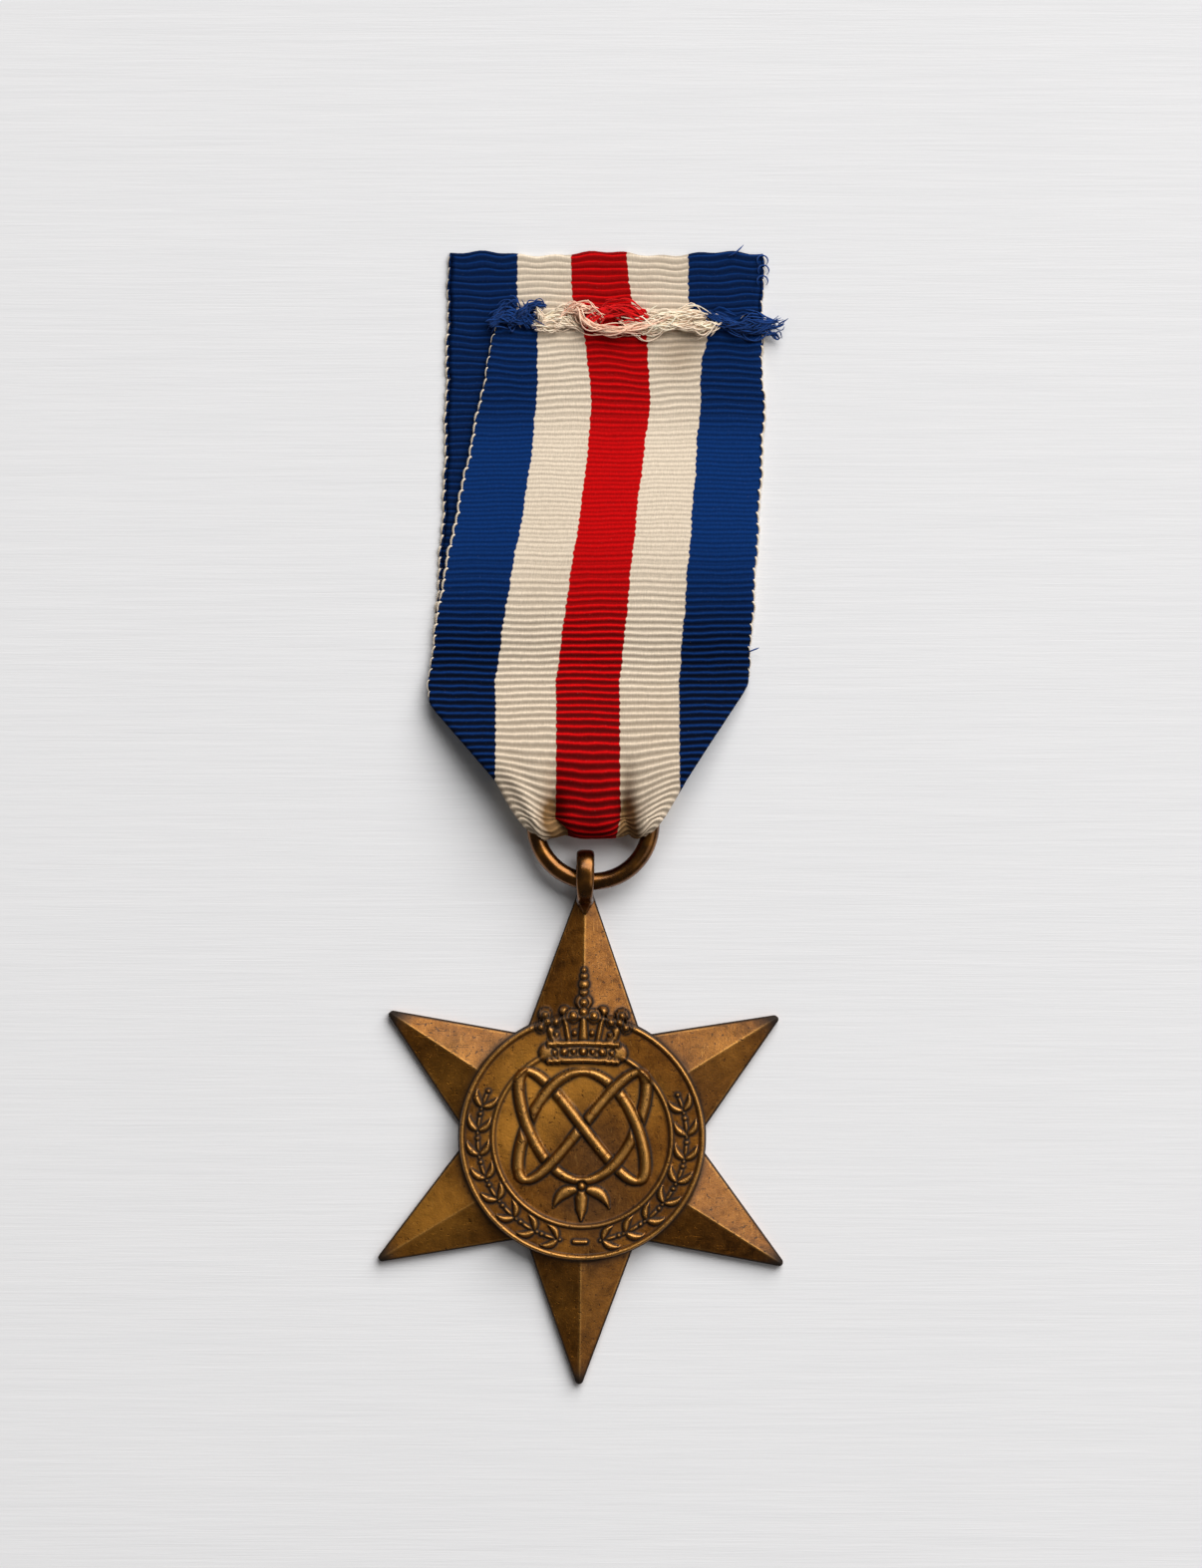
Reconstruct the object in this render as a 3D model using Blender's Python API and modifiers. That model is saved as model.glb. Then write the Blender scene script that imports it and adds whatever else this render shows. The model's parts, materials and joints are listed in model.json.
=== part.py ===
"""A six-pointed bronze star medal on a folded ribbon, lying face up on a table.

Frame: +X across the medal, +Y up its length from the star to the ribbon's top, +Z out of the face.
The origin is at the middle of the whole medal, on the table. Lengths below are in millimetres.
"""

import math

import bmesh
import bpy
from mathutils import Matrix, Vector

MM = 0.001
GAP = 0.3            # clearance between pieces that touch in the real medal
MERGE = 0.00001      # merge distance of the modifiers, in metres

# Star: a faceted blank with a raised disc, in its own frame with +Y towards the eyelet
STAR_CENTRE = (0.155, -32.7)
STAR_LEAN = -0.69                    # degrees, clockwise seen from the face
STAR_EDGE = 1.0                      # thickness at the outline
STAR_APEX = 4.0                      # height where the ridges would meet
STAR_TRIM = 2.64                     # the facets are cut flat here, under the disc
TOP_RAY_CUT = 24.1                   # the top ray is cut off here for the eyelet
TIPS = [(0.0, 27.3), (20.05, 12.6), (20.9, -12.95), (0.0, -25.7)]
VALLEYS = [(6.0, 10.5), (11.7, -0.2), (5.7, -10.5)]

DISC_RADIUS = 12.7
DISC_BACK = 0.2
FIELD_Z = 2.75
BORDER_Z = 2.8
RIM_Z = 3.1
OUTER_RIM_WIDTH = 0.55
INNER_RIM_RADIUS = 9.4
INNER_RIM_WIDTH = 0.45

# Raised work on the disc: a leaf crown over two interlaced ovals
CROWN_CENTRE_Y = 12.1
CROWN_BAND_HALF = 3.25
CROWN_Z = 3.5
OVAL_CENTRE_Y = -0.4
OVAL_LONG = 6.6
OVAL_SHORT = 3.1
OVAL_TILT = 52.0
OVAL_Z = 2.85
OVAL_WIRE = 0.42

# Eyelet: a flat strap bent into an oval loop and brazed to the top ray
EYELET_WIDTH = 1.9
EYELET_HOLE_RADIUS = 1.25
EYELET_WALL = 1.15
EYELET_STRAIGHT = 0.85
EYELET_Y = 26.4                      # middle of the loop's lower round end, where the ring's wire lies
EYELET_FOOT_TOP = 1.9

# Suspension ring
RING_RADIUS = 5.97                   # to the middle of the wire
WIRE_RADIUS = 0.9
RING_Z = 2.5
RING_BUTT_GAP = 0.15
RING_BUTT_ANGLE = 112.0
RING_OFFSET_ANGLE = 7.7              # the star hangs this far round from the ring's lowest point

# Ribbon: one strip, down the front, round the ring and up the back
RIBBON_THICKNESS = 0.5
FOLD_THICKNESS = 0.3
BACK_Z = 0.25
BACK_TOP_Y = 58.4
FRONT_END_Y = 51.3
LEAF_FOOT_Y = 14.6
PANEL_TOP_Y = 11.9
PANEL_FOOT_Y = 4.7
BACK_LEFT = [(BACK_TOP_Y, -13.4), (33.0, -13.9), (LEAF_FOOT_Y, -15.2)]
BACK_RIGHT = [(BACK_TOP_Y, 18.7), (33.0, 18.3), (LEAF_FOOT_Y, 17.2)]
FRONT_LEFT = [(FRONT_END_Y, -8.4), (43.0, -10.2), (33.0, -12.3), (23.0, -14.3), (LEAF_FOOT_Y, -15.5)]
FRONT_RIGHT = [(FRONT_END_Y, 18.4), (42.0, 18.8), (33.0, 18.3), (23.0, 17.7), (LEAF_FOOT_Y, 17.1)]
FRONT_Z = [(FRONT_END_Y, 1.05), (30.0, 1.05), (20.0, 1.4), (LEAF_FOOT_Y, 1.85),
           (PANEL_TOP_Y, 2.25), (8.5, 3.2), (5.6, 3.95), (4.0, 4.1)]
CREASE_LEFT = [(-15.4, 12.1), (-7.95, 3.7)]
CREASE_RIGHT = [(17.1, 14.1), (10.3, 3.8)]
TURN_Y = 0.35
TURN_RADIUS = 1.75
TURN_Z = 2.35
TURN_LIMB_Y = 4.3
TURN_LIMB_HALF = 8.4
TURN_SHOULDER_HALF = 5.6
TURN_NECK_HALF = 4.4

# Thread
THREAD_RADIUS = 0.14
STITCH_COUNT = 7

COLLECTION = "star_medal"
SLOTS = {
    "ribbon_cloth": ((0.02, 0.09, 0.36, 1.0), 0.85, 0.0),
    "sewing_thread": ((0.78, 0.70, 0.58, 1.0), 0.9, 0.0),
    "ring_bronze": ((0.40, 0.25, 0.10, 1.0), 0.3, 1.0),
    "star_bronze": ((0.33, 0.19, 0.075, 1.0), 0.38, 1.0),
}


# ---------------------------------------------------------------- helpers

def clear_scene():
    for thing in list(bpy.data.objects):
        bpy.data.objects.remove(thing)


def collection(name):
    made = bpy.data.collections.new(name)
    bpy.context.scene.collection.children.link(made)
    return made


def material(name):
    found = bpy.data.materials.get(name)
    if found:
        return found
    colour, roughness, metallic = SLOTS[name]
    made = bpy.data.materials.new(name)
    made.use_nodes = True
    shader = made.node_tree.nodes["Principled BSDF"]
    shader.inputs["Base Color"].default_value = colour
    shader.inputs["Roughness"].default_value = roughness
    shader.inputs["Metallic"].default_value = metallic
    return made


def add(name, data, slot, home):
    """Links an object for a mesh or curve whose points are in millimetres."""
    made = bpy.data.objects.new(name, data)
    data.transform(Matrix.Scale(MM, 4))
    data.materials.clear()
    data.materials.append(material(slot))
    home.objects.link(made)
    return made


def mesh_of(name, bm):
    data = bpy.data.meshes.new(name)
    bm.to_mesh(data)
    bm.free()
    return data


def smooth_shade(thing, degrees=35):
    thing.data.shade_smooth()
    thing.data.set_sharp_from_angle(angle=math.radians(degrees))


def ease(t):
    """Smooth step from 0 to 1."""
    t = min(max(t, 0.0), 1.0)
    return t * t * (3 - 2 * t)


def along(knots, y):
    """Value at y of the straight runs between (y, value) knots, whose y falls."""
    if y >= knots[0][0]:
        return knots[0][1]
    for (y0, v0), (y1, v1) in zip(knots, knots[1:]):
        if y >= y1:
            return v0 + (v1 - v0) * (y0 - y) / (y0 - y1)
    return knots[-1][1]


def apply_modifiers(thing):
    """Replaces the object's mesh by its evaluated one."""
    graph = bpy.context.evaluated_depsgraph_get()
    graph.update()
    data = bpy.data.meshes.new_from_object(thing.evaluated_get(graph))
    thing.modifiers.clear()
    thing.data = data


def solid_from_curve(name, curve, home):
    """A curve's evaluated mesh with its caps welded on, in metres."""
    holder = bpy.data.objects.new(name, curve)
    home.objects.link(holder)
    graph = bpy.context.evaluated_depsgraph_get()
    graph.update()
    data = bpy.data.meshes.new_from_object(holder.evaluated_get(graph))
    bm = bmesh.new()
    bm.from_mesh(data)
    bmesh.ops.remove_doubles(bm, verts=bm.verts, dist=0.001)
    bm.to_mesh(data)
    bm.free()
    bpy.data.objects.remove(holder)
    return data


def outline_curve(name, loops, depth):
    """A flat outline with its holes, extruded to a plate of that depth. Loops are lists of (x, y)."""
    curve = bpy.data.curves.new(name, "CURVE")
    curve.dimensions = "2D"
    curve.fill_mode = "BOTH"
    curve.extrude = depth / 2
    for loop in loops:
        spline = curve.splines.new("POLY")
        spline.points.add(len(loop) - 1)
        for point, (x, y) in zip(spline.points, loop):
            point.co = (x, y, 0, 1)
        spline.use_cyclic_u = True
    return curve


def wire_curve(name, run, radius, resolution, closed=False):
    """A round wire of that radius along a run of (x, y, z) points, with flat ends unless it is closed."""
    curve = bpy.data.curves.new(name, "CURVE")
    curve.dimensions = "3D"
    curve.bevel_depth = radius
    curve.bevel_resolution = resolution
    curve.use_fill_caps = not closed
    spline = curve.splines.new("POLY")
    spline.points.add(len(run) - 1)
    for point, place in zip(spline.points, run):
        point.co = (*place, 1)
    spline.use_cyclic_u = closed
    return curve


def boolean(thing, cutter, operation, cutters):
    """Adds cutter to thing, or takes it away, and puts the cutter with the other cutters."""
    for home in list(cutter.users_collection):
        home.objects.unlink(cutter)
    cutters.objects.link(cutter)
    cutter.hide_render = True
    cutter.display_type = "WIRE"
    step = thing.modifiers.new(operation.lower(), "BOOLEAN")
    step.operation = operation
    step.object = cutter
    apply_modifiers(thing)


# ---------------------------------------------------------------- star

def star_outline():
    """Tips and valleys in turn, counter-clockwise from the top tip."""
    left_first = [TIPS[0]]
    for valley, tip in zip(VALLEYS, TIPS[1:]):
        left_first += [(-valley[0], valley[1]), (-tip[0], tip[1])]
    right = [(-x, y) for x, y in reversed(left_first[1:-1])]
    return left_first + right


def star_blank(home):
    """A twelve-sided cone pulled out to the outline, so that a ridge runs up each ray."""
    bm = bmesh.new()
    outline = star_outline()
    bmesh.ops.create_cone(bm, cap_ends=True, segments=len(outline), radius1=10, radius2=0,
                          depth=STAR_APEX - STAR_EDGE)
    lowest = min(v.co.z for v in bm.verts)
    rim = [v for v in bm.verts if v.co.z < lowest + 0.01]
    apex = [v for v in bm.verts if v not in rim]
    rim.sort(key=lambda v: (math.atan2(v.co.y, v.co.x) - math.pi / 2) % math.tau)
    for vertex, (x, y) in zip(rim, outline):
        vertex.co = (x, y, STAR_EDGE)
    for vertex in apex:
        vertex.co = (0, 0, STAR_APEX)
    base = [f for f in bm.faces if all(v in rim for v in f.verts)]
    slab = bmesh.ops.extrude_face_region(bm, geom=base)
    lower = [v for v in slab["geom"] if isinstance(v, bmesh.types.BMVert)]
    bmesh.ops.delete(bm, geom=base, context="FACES_ONLY")
    for vertex in lower:
        vertex.co.z = 0
    for place, normal in (((0, 0, STAR_TRIM), (0, 0, 1)), ((0, TOP_RAY_CUT, 0), (0, 1, 0))):
        every = bm.verts[:] + bm.edges[:] + bm.faces[:]
        cut = bmesh.ops.bisect_plane(bm, geom=every, plane_co=place, plane_no=normal, clear_outer=True)
        edges = [e for e in cut["geom_cut"] if isinstance(e, bmesh.types.BMEdge)]
        bmesh.ops.holes_fill(bm, edges=edges)
    bmesh.ops.recalc_face_normals(bm, faces=bm.faces)
    return add("star", mesh_of("star", bm), "star_bronze", home)


def disc_profile():
    """The disc's section from the centre out over both rims and down its edge, top to bottom."""
    inner_out, inner_in = INNER_RIM_RADIUS, INNER_RIM_RADIUS - INNER_RIM_WIDTH
    outer_in = DISC_RADIUS - OUTER_RIM_WIDTH
    slope = 0.12
    return [
        (0, FIELD_Z), (inner_in, FIELD_Z), (inner_in + slope, RIM_Z), (inner_out - slope, RIM_Z),
        (inner_out, BORDER_Z), (outer_in, BORDER_Z), (outer_in + slope, RIM_Z),
        (DISC_RADIUS - slope, RIM_Z), (DISC_RADIUS, RIM_Z - slope), (DISC_RADIUS, DISC_BACK),
        (0, DISC_BACK),
    ]


def disc(cutters):
    """The disc turned from its section."""
    bm = bmesh.new()
    points = [bm.verts.new((r, 0, z)) for r, z in disc_profile()]
    for a, b in zip(points, points[1:]):
        bm.edges.new((a, b))
    made = add("disc_turned", mesh_of("disc_turned", bm), "star_bronze", cutters)
    turn = made.modifiers.new("turn", "SCREW")
    turn.steps = turn.render_steps = 72
    turn.use_merge_vertices = True
    turn.merge_threshold = MERGE
    apply_modifiers(made)
    return made


def crown_outline():
    """A five-leaved crown: the band, then leaves fanned out above it, tallest in the middle."""
    band_y, band_top = CROWN_CENTRE_Y - 3.4, CROWN_CENTRE_Y - 1.3
    right = [(CROWN_BAND_HALF, band_y), (CROWN_BAND_HALF + 0.1, band_top)]
    right += [(5.3, CROWN_CENTRE_Y + 1.1), (4.1, CROWN_CENTRE_Y + 0.9), (3.9, CROWN_CENTRE_Y + 3.0)]
    right += [(2.5, CROWN_CENTRE_Y + 2.0), (0.95, CROWN_CENTRE_Y + 2.6), (0.6, CROWN_CENTRE_Y + 5.2)]
    left = [(-x, y) for x, y in reversed(right)]
    return right + left


def oval_run(tilt, steps=28):
    """Points round an oval on the disc's field, its long side turned by tilt degrees from +X."""
    lean = math.radians(tilt)
    run = []
    for i in range(steps):
        angle = math.tau * i / steps
        along_oval, across_oval = OVAL_LONG * math.cos(angle), OVAL_SHORT * math.sin(angle)
        x = along_oval * math.cos(lean) - across_oval * math.sin(lean)
        y = along_oval * math.sin(lean) + across_oval * math.cos(lean)
        run.append((x, OVAL_CENTRE_Y + y, OVAL_Z))
    return run


def star(home, cutters):
    """The struck star: blank, disc, crown and ovals joined into one solid."""
    blank = star_blank(home)
    boolean(blank, disc(cutters), "UNION", cutters)
    plate = solid_from_curve("crown", outline_curve("crown", [crown_outline()], 1.6), cutters)
    plate.transform(Matrix.Translation((0, 0, CROWN_Z - 0.8)))
    boolean(blank, add("crown", plate, "star_bronze", cutters), "UNION", cutters)
    for side, tilt in (("left", OVAL_TILT), ("right", 180 - OVAL_TILT)):
        name = f"oval_{side}"
        data = solid_from_curve(name, wire_curve(name, oval_run(tilt), OVAL_WIRE, 1, closed=True), cutters)
        boolean(blank, add(name, data, "star_bronze", cutters), "UNION", cutters)
    smooth_shade(blank, 20)
    return blank


# ---------------------------------------------------------------- eyelet and ring

def stadium(radius, straight, steps=14):
    """A round-ended oval about the loop's lower centre, its long side along x."""
    loop = []
    for i in range(steps + 1):
        angle = -math.pi / 2 + math.pi * i / steps
        loop.append((straight + radius * math.cos(angle), radius * math.sin(angle)))
    for i in range(steps + 1):
        angle = math.pi / 2 + math.pi * i / steps
        loop.append((radius * math.cos(angle), radius * math.sin(angle)))
    return loop


def eyelet(home, cutters):
    """An oval strap loop with a foot that meets the cut end of the top ray."""
    outer = stadium(EYELET_HOLE_RADIUS + EYELET_WALL, EYELET_STRAIGHT)
    inner = stadium(EYELET_HOLE_RADIUS, EYELET_STRAIGHT)
    data = solid_from_curve("eyelet", outline_curve("eyelet", [outer, inner], EYELET_WIDTH), cutters)
    stand = Matrix(((0, 0, 1, 0), (1, 0, 0, EYELET_Y), (0, 1, 0, RING_Z), (0, 0, 0, 1)))
    data.transform(stand)
    loop = add("eyelet", data, "ring_bronze", home)
    bm = bmesh.new()
    bmesh.ops.create_cube(bm, size=1)
    low = Vector((-EYELET_WIDTH / 2 + 0.05, TOP_RAY_CUT + GAP, GAP))
    high = Vector((EYELET_WIDTH / 2 - 0.05, TOP_RAY_CUT + 1.1, EYELET_FOOT_TOP))
    for vertex in bm.verts:
        vertex.co = Vector(high[k] if vertex.co[k] > 0 else low[k] for k in range(3))
    foot = add("eyelet_foot", mesh_of("eyelet_foot", bm), "ring_bronze", cutters)
    boolean(loop, foot, "UNION", cutters)
    smooth_shade(loop)
    return loop


def star_to_world(x, y):
    """A point of the star's frame in the medal's frame."""
    lean = math.radians(STAR_LEAN)
    turned = (x * math.cos(lean) - y * math.sin(lean), x * math.sin(lean) + y * math.cos(lean))
    return STAR_CENTRE[0] + turned[0], STAR_CENTRE[1] + turned[1]


def ring_centre():
    x, y = star_to_world(0, EYELET_Y)
    away = math.radians(RING_OFFSET_ANGLE)
    return x + RING_RADIUS * math.sin(away), y + RING_RADIUS * math.cos(away)


def ring(home):
    """A round wire ring, butted where the ribbon hides it."""
    cx, cy = ring_centre()
    steps = 60
    half_gap = RING_BUTT_GAP / 2 / RING_RADIUS
    first = math.radians(RING_BUTT_ANGLE) + half_gap
    run = []
    for i in range(steps + 1):
        angle = first + (math.tau - 2 * half_gap) * i / steps
        run.append((cx + RING_RADIUS * math.cos(angle), cy + RING_RADIUS * math.sin(angle), RING_Z))
    data = solid_from_curve("suspension_ring", wire_curve("suspension_ring", run, WIRE_RADIUS, 4), home)
    made = add("suspension_ring", data, "ring_bronze", home)
    smooth_shade(made)
    return made


# ---------------------------------------------------------------- ribbon

def bent_sheet(name, place, columns, rows, thickness, home):
    """A grid laid out by place(across, down), both from 0 to 1, and thickened evenly to both sides."""
    bm = bmesh.new()
    bmesh.ops.create_grid(bm, x_segments=columns, y_segments=rows, size=0.5)
    for vertex in bm.verts:
        vertex.co = place(vertex.co.x + 0.5, 0.5 - vertex.co.y)
    made = add(name, mesh_of(name, bm), "ribbon_cloth", home)
    wall = made.modifiers.new("cloth", "SOLIDIFY")
    wall.thickness = thickness * MM
    wall.offset = 0
    wall.use_even_offset = True
    smooth_shade(made)
    return made


def leaf(name, left, right, height, top, foot, rows, home):
    """A length of ribbon between two edges, from its top to its foot."""
    def place(across, down):
        y = top + (foot - top) * down
        x = along(left, y) * (1 - across) + along(right, y) * across
        return x, y, height(y)
    return bent_sheet(name, place, 4, rows, RIBBON_THICKNESS, home)


def crease_x(crease, y):
    """Where the mitre crease is at that height, no further out than its start."""
    (x0, y0), (x1, y1) = crease
    share = min(max((y0 - y) / (y0 - y1), 0.0), 1.0)
    return x0 + (x1 - x0) * share


def mitre_panel(name, height, home):
    """The tapered stretch between the two mitre creases."""
    def place(across, down):
        y = PANEL_TOP_Y + (PANEL_FOOT_Y - PANEL_TOP_Y) * down
        x = crease_x(CREASE_LEFT, y) * (1 - across) + crease_x(CREASE_RIGHT, y) * across
        return x, y, height(y)
    return bent_sheet(name, place, 4, 6, RIBBON_THICKNESS, home)


def mitre_fold(name, crease, height, home):
    """The ribbon's corner turned in behind the panel: the corner outside the crease, mirrored in it."""
    start, end = Vector(crease[0]), Vector(crease[1])
    down = (end - start).normalized()
    corner = Vector((start.x, end.y)) - start
    mirrored = start + 2 * corner.dot(down) * down - corner
    middle = (start + end + mirrored) / 3
    inset = [middle + (p - middle) * 0.86 for p in (start, end, mirrored)]

    def place(across, down_share):
        edge = inset[0].lerp(inset[1], down_share)
        tail = inset[0].lerp(inset[2], down_share)
        spot = edge.lerp(tail, across)
        return spot.x, spot.y, height(spot.y)

    bm = bmesh.new()
    bmesh.ops.create_grid(bm, x_segments=2, y_segments=4, size=0.5)
    for vertex in bm.verts:
        vertex.co = place(vertex.co.x + 0.5, 0.5 - vertex.co.y)
    bmesh.ops.remove_doubles(bm, verts=bm.verts, dist=0.001)
    made = add(name, mesh_of(name, bm), "ribbon_cloth", home)
    wall = made.modifiers.new("cloth", "SOLIDIFY")
    wall.thickness = FOLD_THICKNESS * MM
    wall.offset = 0
    smooth_shade(made)
    return made


def turn_path():
    """The ribbon's path round the ring in (y, z), with its half-width at each point."""
    path = []
    for i in range(4):
        share = i / 3
        y = TURN_LIMB_Y + (TURN_Y - TURN_LIMB_Y) * share
        half = TURN_LIMB_HALF + (TURN_SHOULDER_HALF - TURN_LIMB_HALF) * ease(share)
        path.append((y, TURN_Z + TURN_RADIUS, half))
    steps = 12
    for i in range(1, steps):
        angle = math.pi * i / steps
        squeeze = ease(min(angle, math.pi - angle) / math.radians(28))
        half = TURN_SHOULDER_HALF + (TURN_NECK_HALF - TURN_SHOULDER_HALF) * squeeze
        y = TURN_Y - TURN_RADIUS * math.sin(angle)
        path.append((y, TURN_Z + TURN_RADIUS * math.cos(angle), half))
    path += [(y, 2 * TURN_Z - z, half) for y, z, half in reversed(path[:4])]
    return path


def ribbon_turn(home):
    """The gathered ribbon passing through the ring and round its upper wire."""
    path = turn_path()
    centre = ring_centre()[0]

    def place(across, down):
        y, z, half = path[round(down * (len(path) - 1))]
        return centre + half * (2 * across - 1), y, z
    return bent_sheet("ribbon_turn", place, 4, len(path) - 1, RIBBON_THICKNESS, home)


def ribbon(home):
    def front(y):
        return along(FRONT_Z, y)

    def flat(y):
        return BACK_Z

    leaf("ribbon_front_leaf", FRONT_LEFT, FRONT_RIGHT, front, FRONT_END_Y, LEAF_FOOT_Y, 14, home)
    leaf("ribbon_back_leaf", BACK_LEFT, BACK_RIGHT, flat, BACK_TOP_Y, LEAF_FOOT_Y, 8, home)
    mitre_panel("mitre_panel_front", front, home)
    mitre_panel("mitre_panel_back", flat, home)
    step = RIBBON_THICKNESS / 2 + GAP + FOLD_THICKNESS / 2
    for side, crease in (("left", CREASE_LEFT), ("right", CREASE_RIGHT)):
        mitre_fold(f"mitre_fold_front_{side}", crease, lambda y: front(y) - step, home)
        mitre_fold(f"mitre_fold_back_{side}", crease, lambda y: BACK_Z + step, home)
    ribbon_turn(home)


# ---------------------------------------------------------------- thread

def tacking_thread(home):
    """One thread whipped over the front leaf's raw end, down onto the back leaf and up again."""
    left, right = along(FRONT_LEFT, FRONT_END_Y), along(FRONT_RIGHT, FRONT_END_Y)
    over = along(FRONT_Z, FRONT_END_Y) + RIBBON_THICKNESS / 2 + GAP + THREAD_RADIUS
    under = BACK_Z + RIBBON_THICKNESS / 2 + GAP + THREAD_RADIUS
    pitch = (right - left) / (STITCH_COUNT + 0.5)
    run = []
    for i in range(STITCH_COUNT):
        x = left + pitch * (i + 0.5)
        run += [
            (x, FRONT_END_Y - 1.3, over), (x + 0.32 * pitch, FRONT_END_Y + 0.3, over),
            (x + 0.4 * pitch, FRONT_END_Y + 0.75, over - 0.2), (x + 0.5 * pitch, FRONT_END_Y + 1.0, under),
            (x + 0.6 * pitch, FRONT_END_Y + 0.75, over - 0.2), (x + 0.68 * pitch, FRONT_END_Y + 0.3, over),
        ]
    run.append((left + pitch * (STITCH_COUNT + 0.1), FRONT_END_Y - 1.1, over))
    data = solid_from_curve("tacking_thread", wire_curve("tacking_thread", run, THREAD_RADIUS, 1), home)
    return add("tacking_thread", data, "sewing_thread", home)


# ---------------------------------------------------------------- assembly

def main():
    clear_scene()
    home = collection(COLLECTION)
    cutters = collection("cutters")
    ribbon(home)
    tacking_thread(home)
    ring(home)
    star_empty = bpy.data.objects.new("star_frame", None)
    home.objects.link(star_empty)
    star_empty.location = (STAR_CENTRE[0] * MM, STAR_CENTRE[1] * MM, 0)
    star_empty.rotation_euler.z = math.radians(STAR_LEAN)
    for piece in (star(home, cutters), eyelet(home, cutters)):
        piece.parent = star_empty


main()
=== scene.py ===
"""A bronze star medal on a folded, striped ribbon, lying face up: its surfaces, finishes and stage.

Lengths in the helper functions are in millimetres, in the frame's own axes: +X across the medal,
+Y up its length, +Z out of its face. Meshes are made in metres.
"""

import json
import math
from functools import partial

import bpy
import numpy as np
from bpy.props import FloatProperty, FloatVectorProperty, IntProperty, PointerProperty
from bpy.types import Operator, Panel, PropertyGroup
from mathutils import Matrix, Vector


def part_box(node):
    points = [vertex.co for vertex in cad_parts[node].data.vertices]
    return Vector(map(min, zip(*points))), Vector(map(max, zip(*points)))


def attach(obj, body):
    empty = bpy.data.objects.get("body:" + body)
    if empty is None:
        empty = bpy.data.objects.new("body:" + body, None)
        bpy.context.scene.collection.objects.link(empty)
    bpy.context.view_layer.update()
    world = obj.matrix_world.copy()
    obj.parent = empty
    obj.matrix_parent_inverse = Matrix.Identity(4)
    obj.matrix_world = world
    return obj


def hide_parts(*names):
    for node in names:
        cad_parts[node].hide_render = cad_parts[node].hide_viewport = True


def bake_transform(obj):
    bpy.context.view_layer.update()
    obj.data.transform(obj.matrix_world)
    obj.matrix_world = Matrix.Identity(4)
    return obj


bl_info = {
    "name": "Star medal and ribbon",
    "version": (1, 0, 0),
    "blender": (4, 5, 0),
    "location": "3D View > Sidebar > Medal",
    "description": "Makes a struck bronze star, its ring and its folded ribbon around a packed frame",
    "category": "Add Mesh",
}

MM = 0.001
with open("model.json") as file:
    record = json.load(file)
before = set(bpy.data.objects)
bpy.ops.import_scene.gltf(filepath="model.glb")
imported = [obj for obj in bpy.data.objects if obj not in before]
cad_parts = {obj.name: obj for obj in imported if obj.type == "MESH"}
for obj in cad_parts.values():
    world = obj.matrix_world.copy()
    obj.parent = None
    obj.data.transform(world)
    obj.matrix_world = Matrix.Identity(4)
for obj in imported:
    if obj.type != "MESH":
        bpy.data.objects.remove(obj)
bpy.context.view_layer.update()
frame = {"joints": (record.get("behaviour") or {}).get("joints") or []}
joints = {joint["name"]: joint for joint in frame["joints"]}


def pivot(name):
    """A joint's place in millimetres."""
    return np.array(joints[name]["pos_m"]) / MM


# The star's own frame: it hangs from the eyelet and leans with the swing axis
EYELET_Y = 26.4
SWING_AXIS = joints["star_swing"]["axis"]
STAR_LEAN = math.atan2(SWING_AXIS[1], SWING_AXIS[0])
STAR_CENTRE = pivot("star_swing")[:2] - EYELET_Y * np.array([-math.sin(STAR_LEAN), math.cos(STAR_LEAN)])
RING_CENTRE = pivot("ring_turn")
BACK_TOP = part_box("ribbon_back_leaf")[1].y / MM
FRONT_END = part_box("ribbon_front_leaf")[1].y / MM


# ---------------------------------------------------------------- numbers and meshes

def smooth(low, high, x):
    """A smooth step from 0 at low to 1 at high; low may be the larger."""
    t = np.clip((np.asarray(x, float) - low) / (high - low), 0, 1)
    return t * t * (3 - 2 * t)


def hump(x, centre, spread, power=2):
    """A soft hump: exp of minus ((x - centre) / spread) to the power."""
    return np.exp(-((x - centre) / spread) ** power)


def knots(pairs, x):
    """Straight runs between (x, value) pairs, taken in rising x."""
    rising = np.array(sorted(pairs), float)
    return np.interp(x, rising[:, 0], rising[:, 1])


def grid_faces(rows, columns, wrap=False):
    """The quads of a grid of points; with wrap the last column joins the first."""
    across = np.arange(columns if wrap else columns - 1)
    down = np.arange(rows - 1)[:, None] * columns
    ahead = (across + 1) % columns
    corners = (down + across, down + ahead, down + columns + ahead, down + columns + across)
    return np.stack([c.ravel() for c in corners], 1)


def swells(points, faces):
    """The signed volume that faces of any side count close in."""
    total = 0.0
    for group in faces:
        first = points[group[:, 0]]
        for k in range(1, group.shape[1] - 1):
            area = np.cross(points[group[:, k]], points[group[:, k + 1]])
            total += np.einsum("ij,ij->i", first, area).sum()
    return total


def linked(name, data):
    """A new object at the origin, put in the scene."""
    made = bpy.data.objects.new(name, data)
    bpy.context.scene.collection.objects.link(made)
    return made


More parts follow.
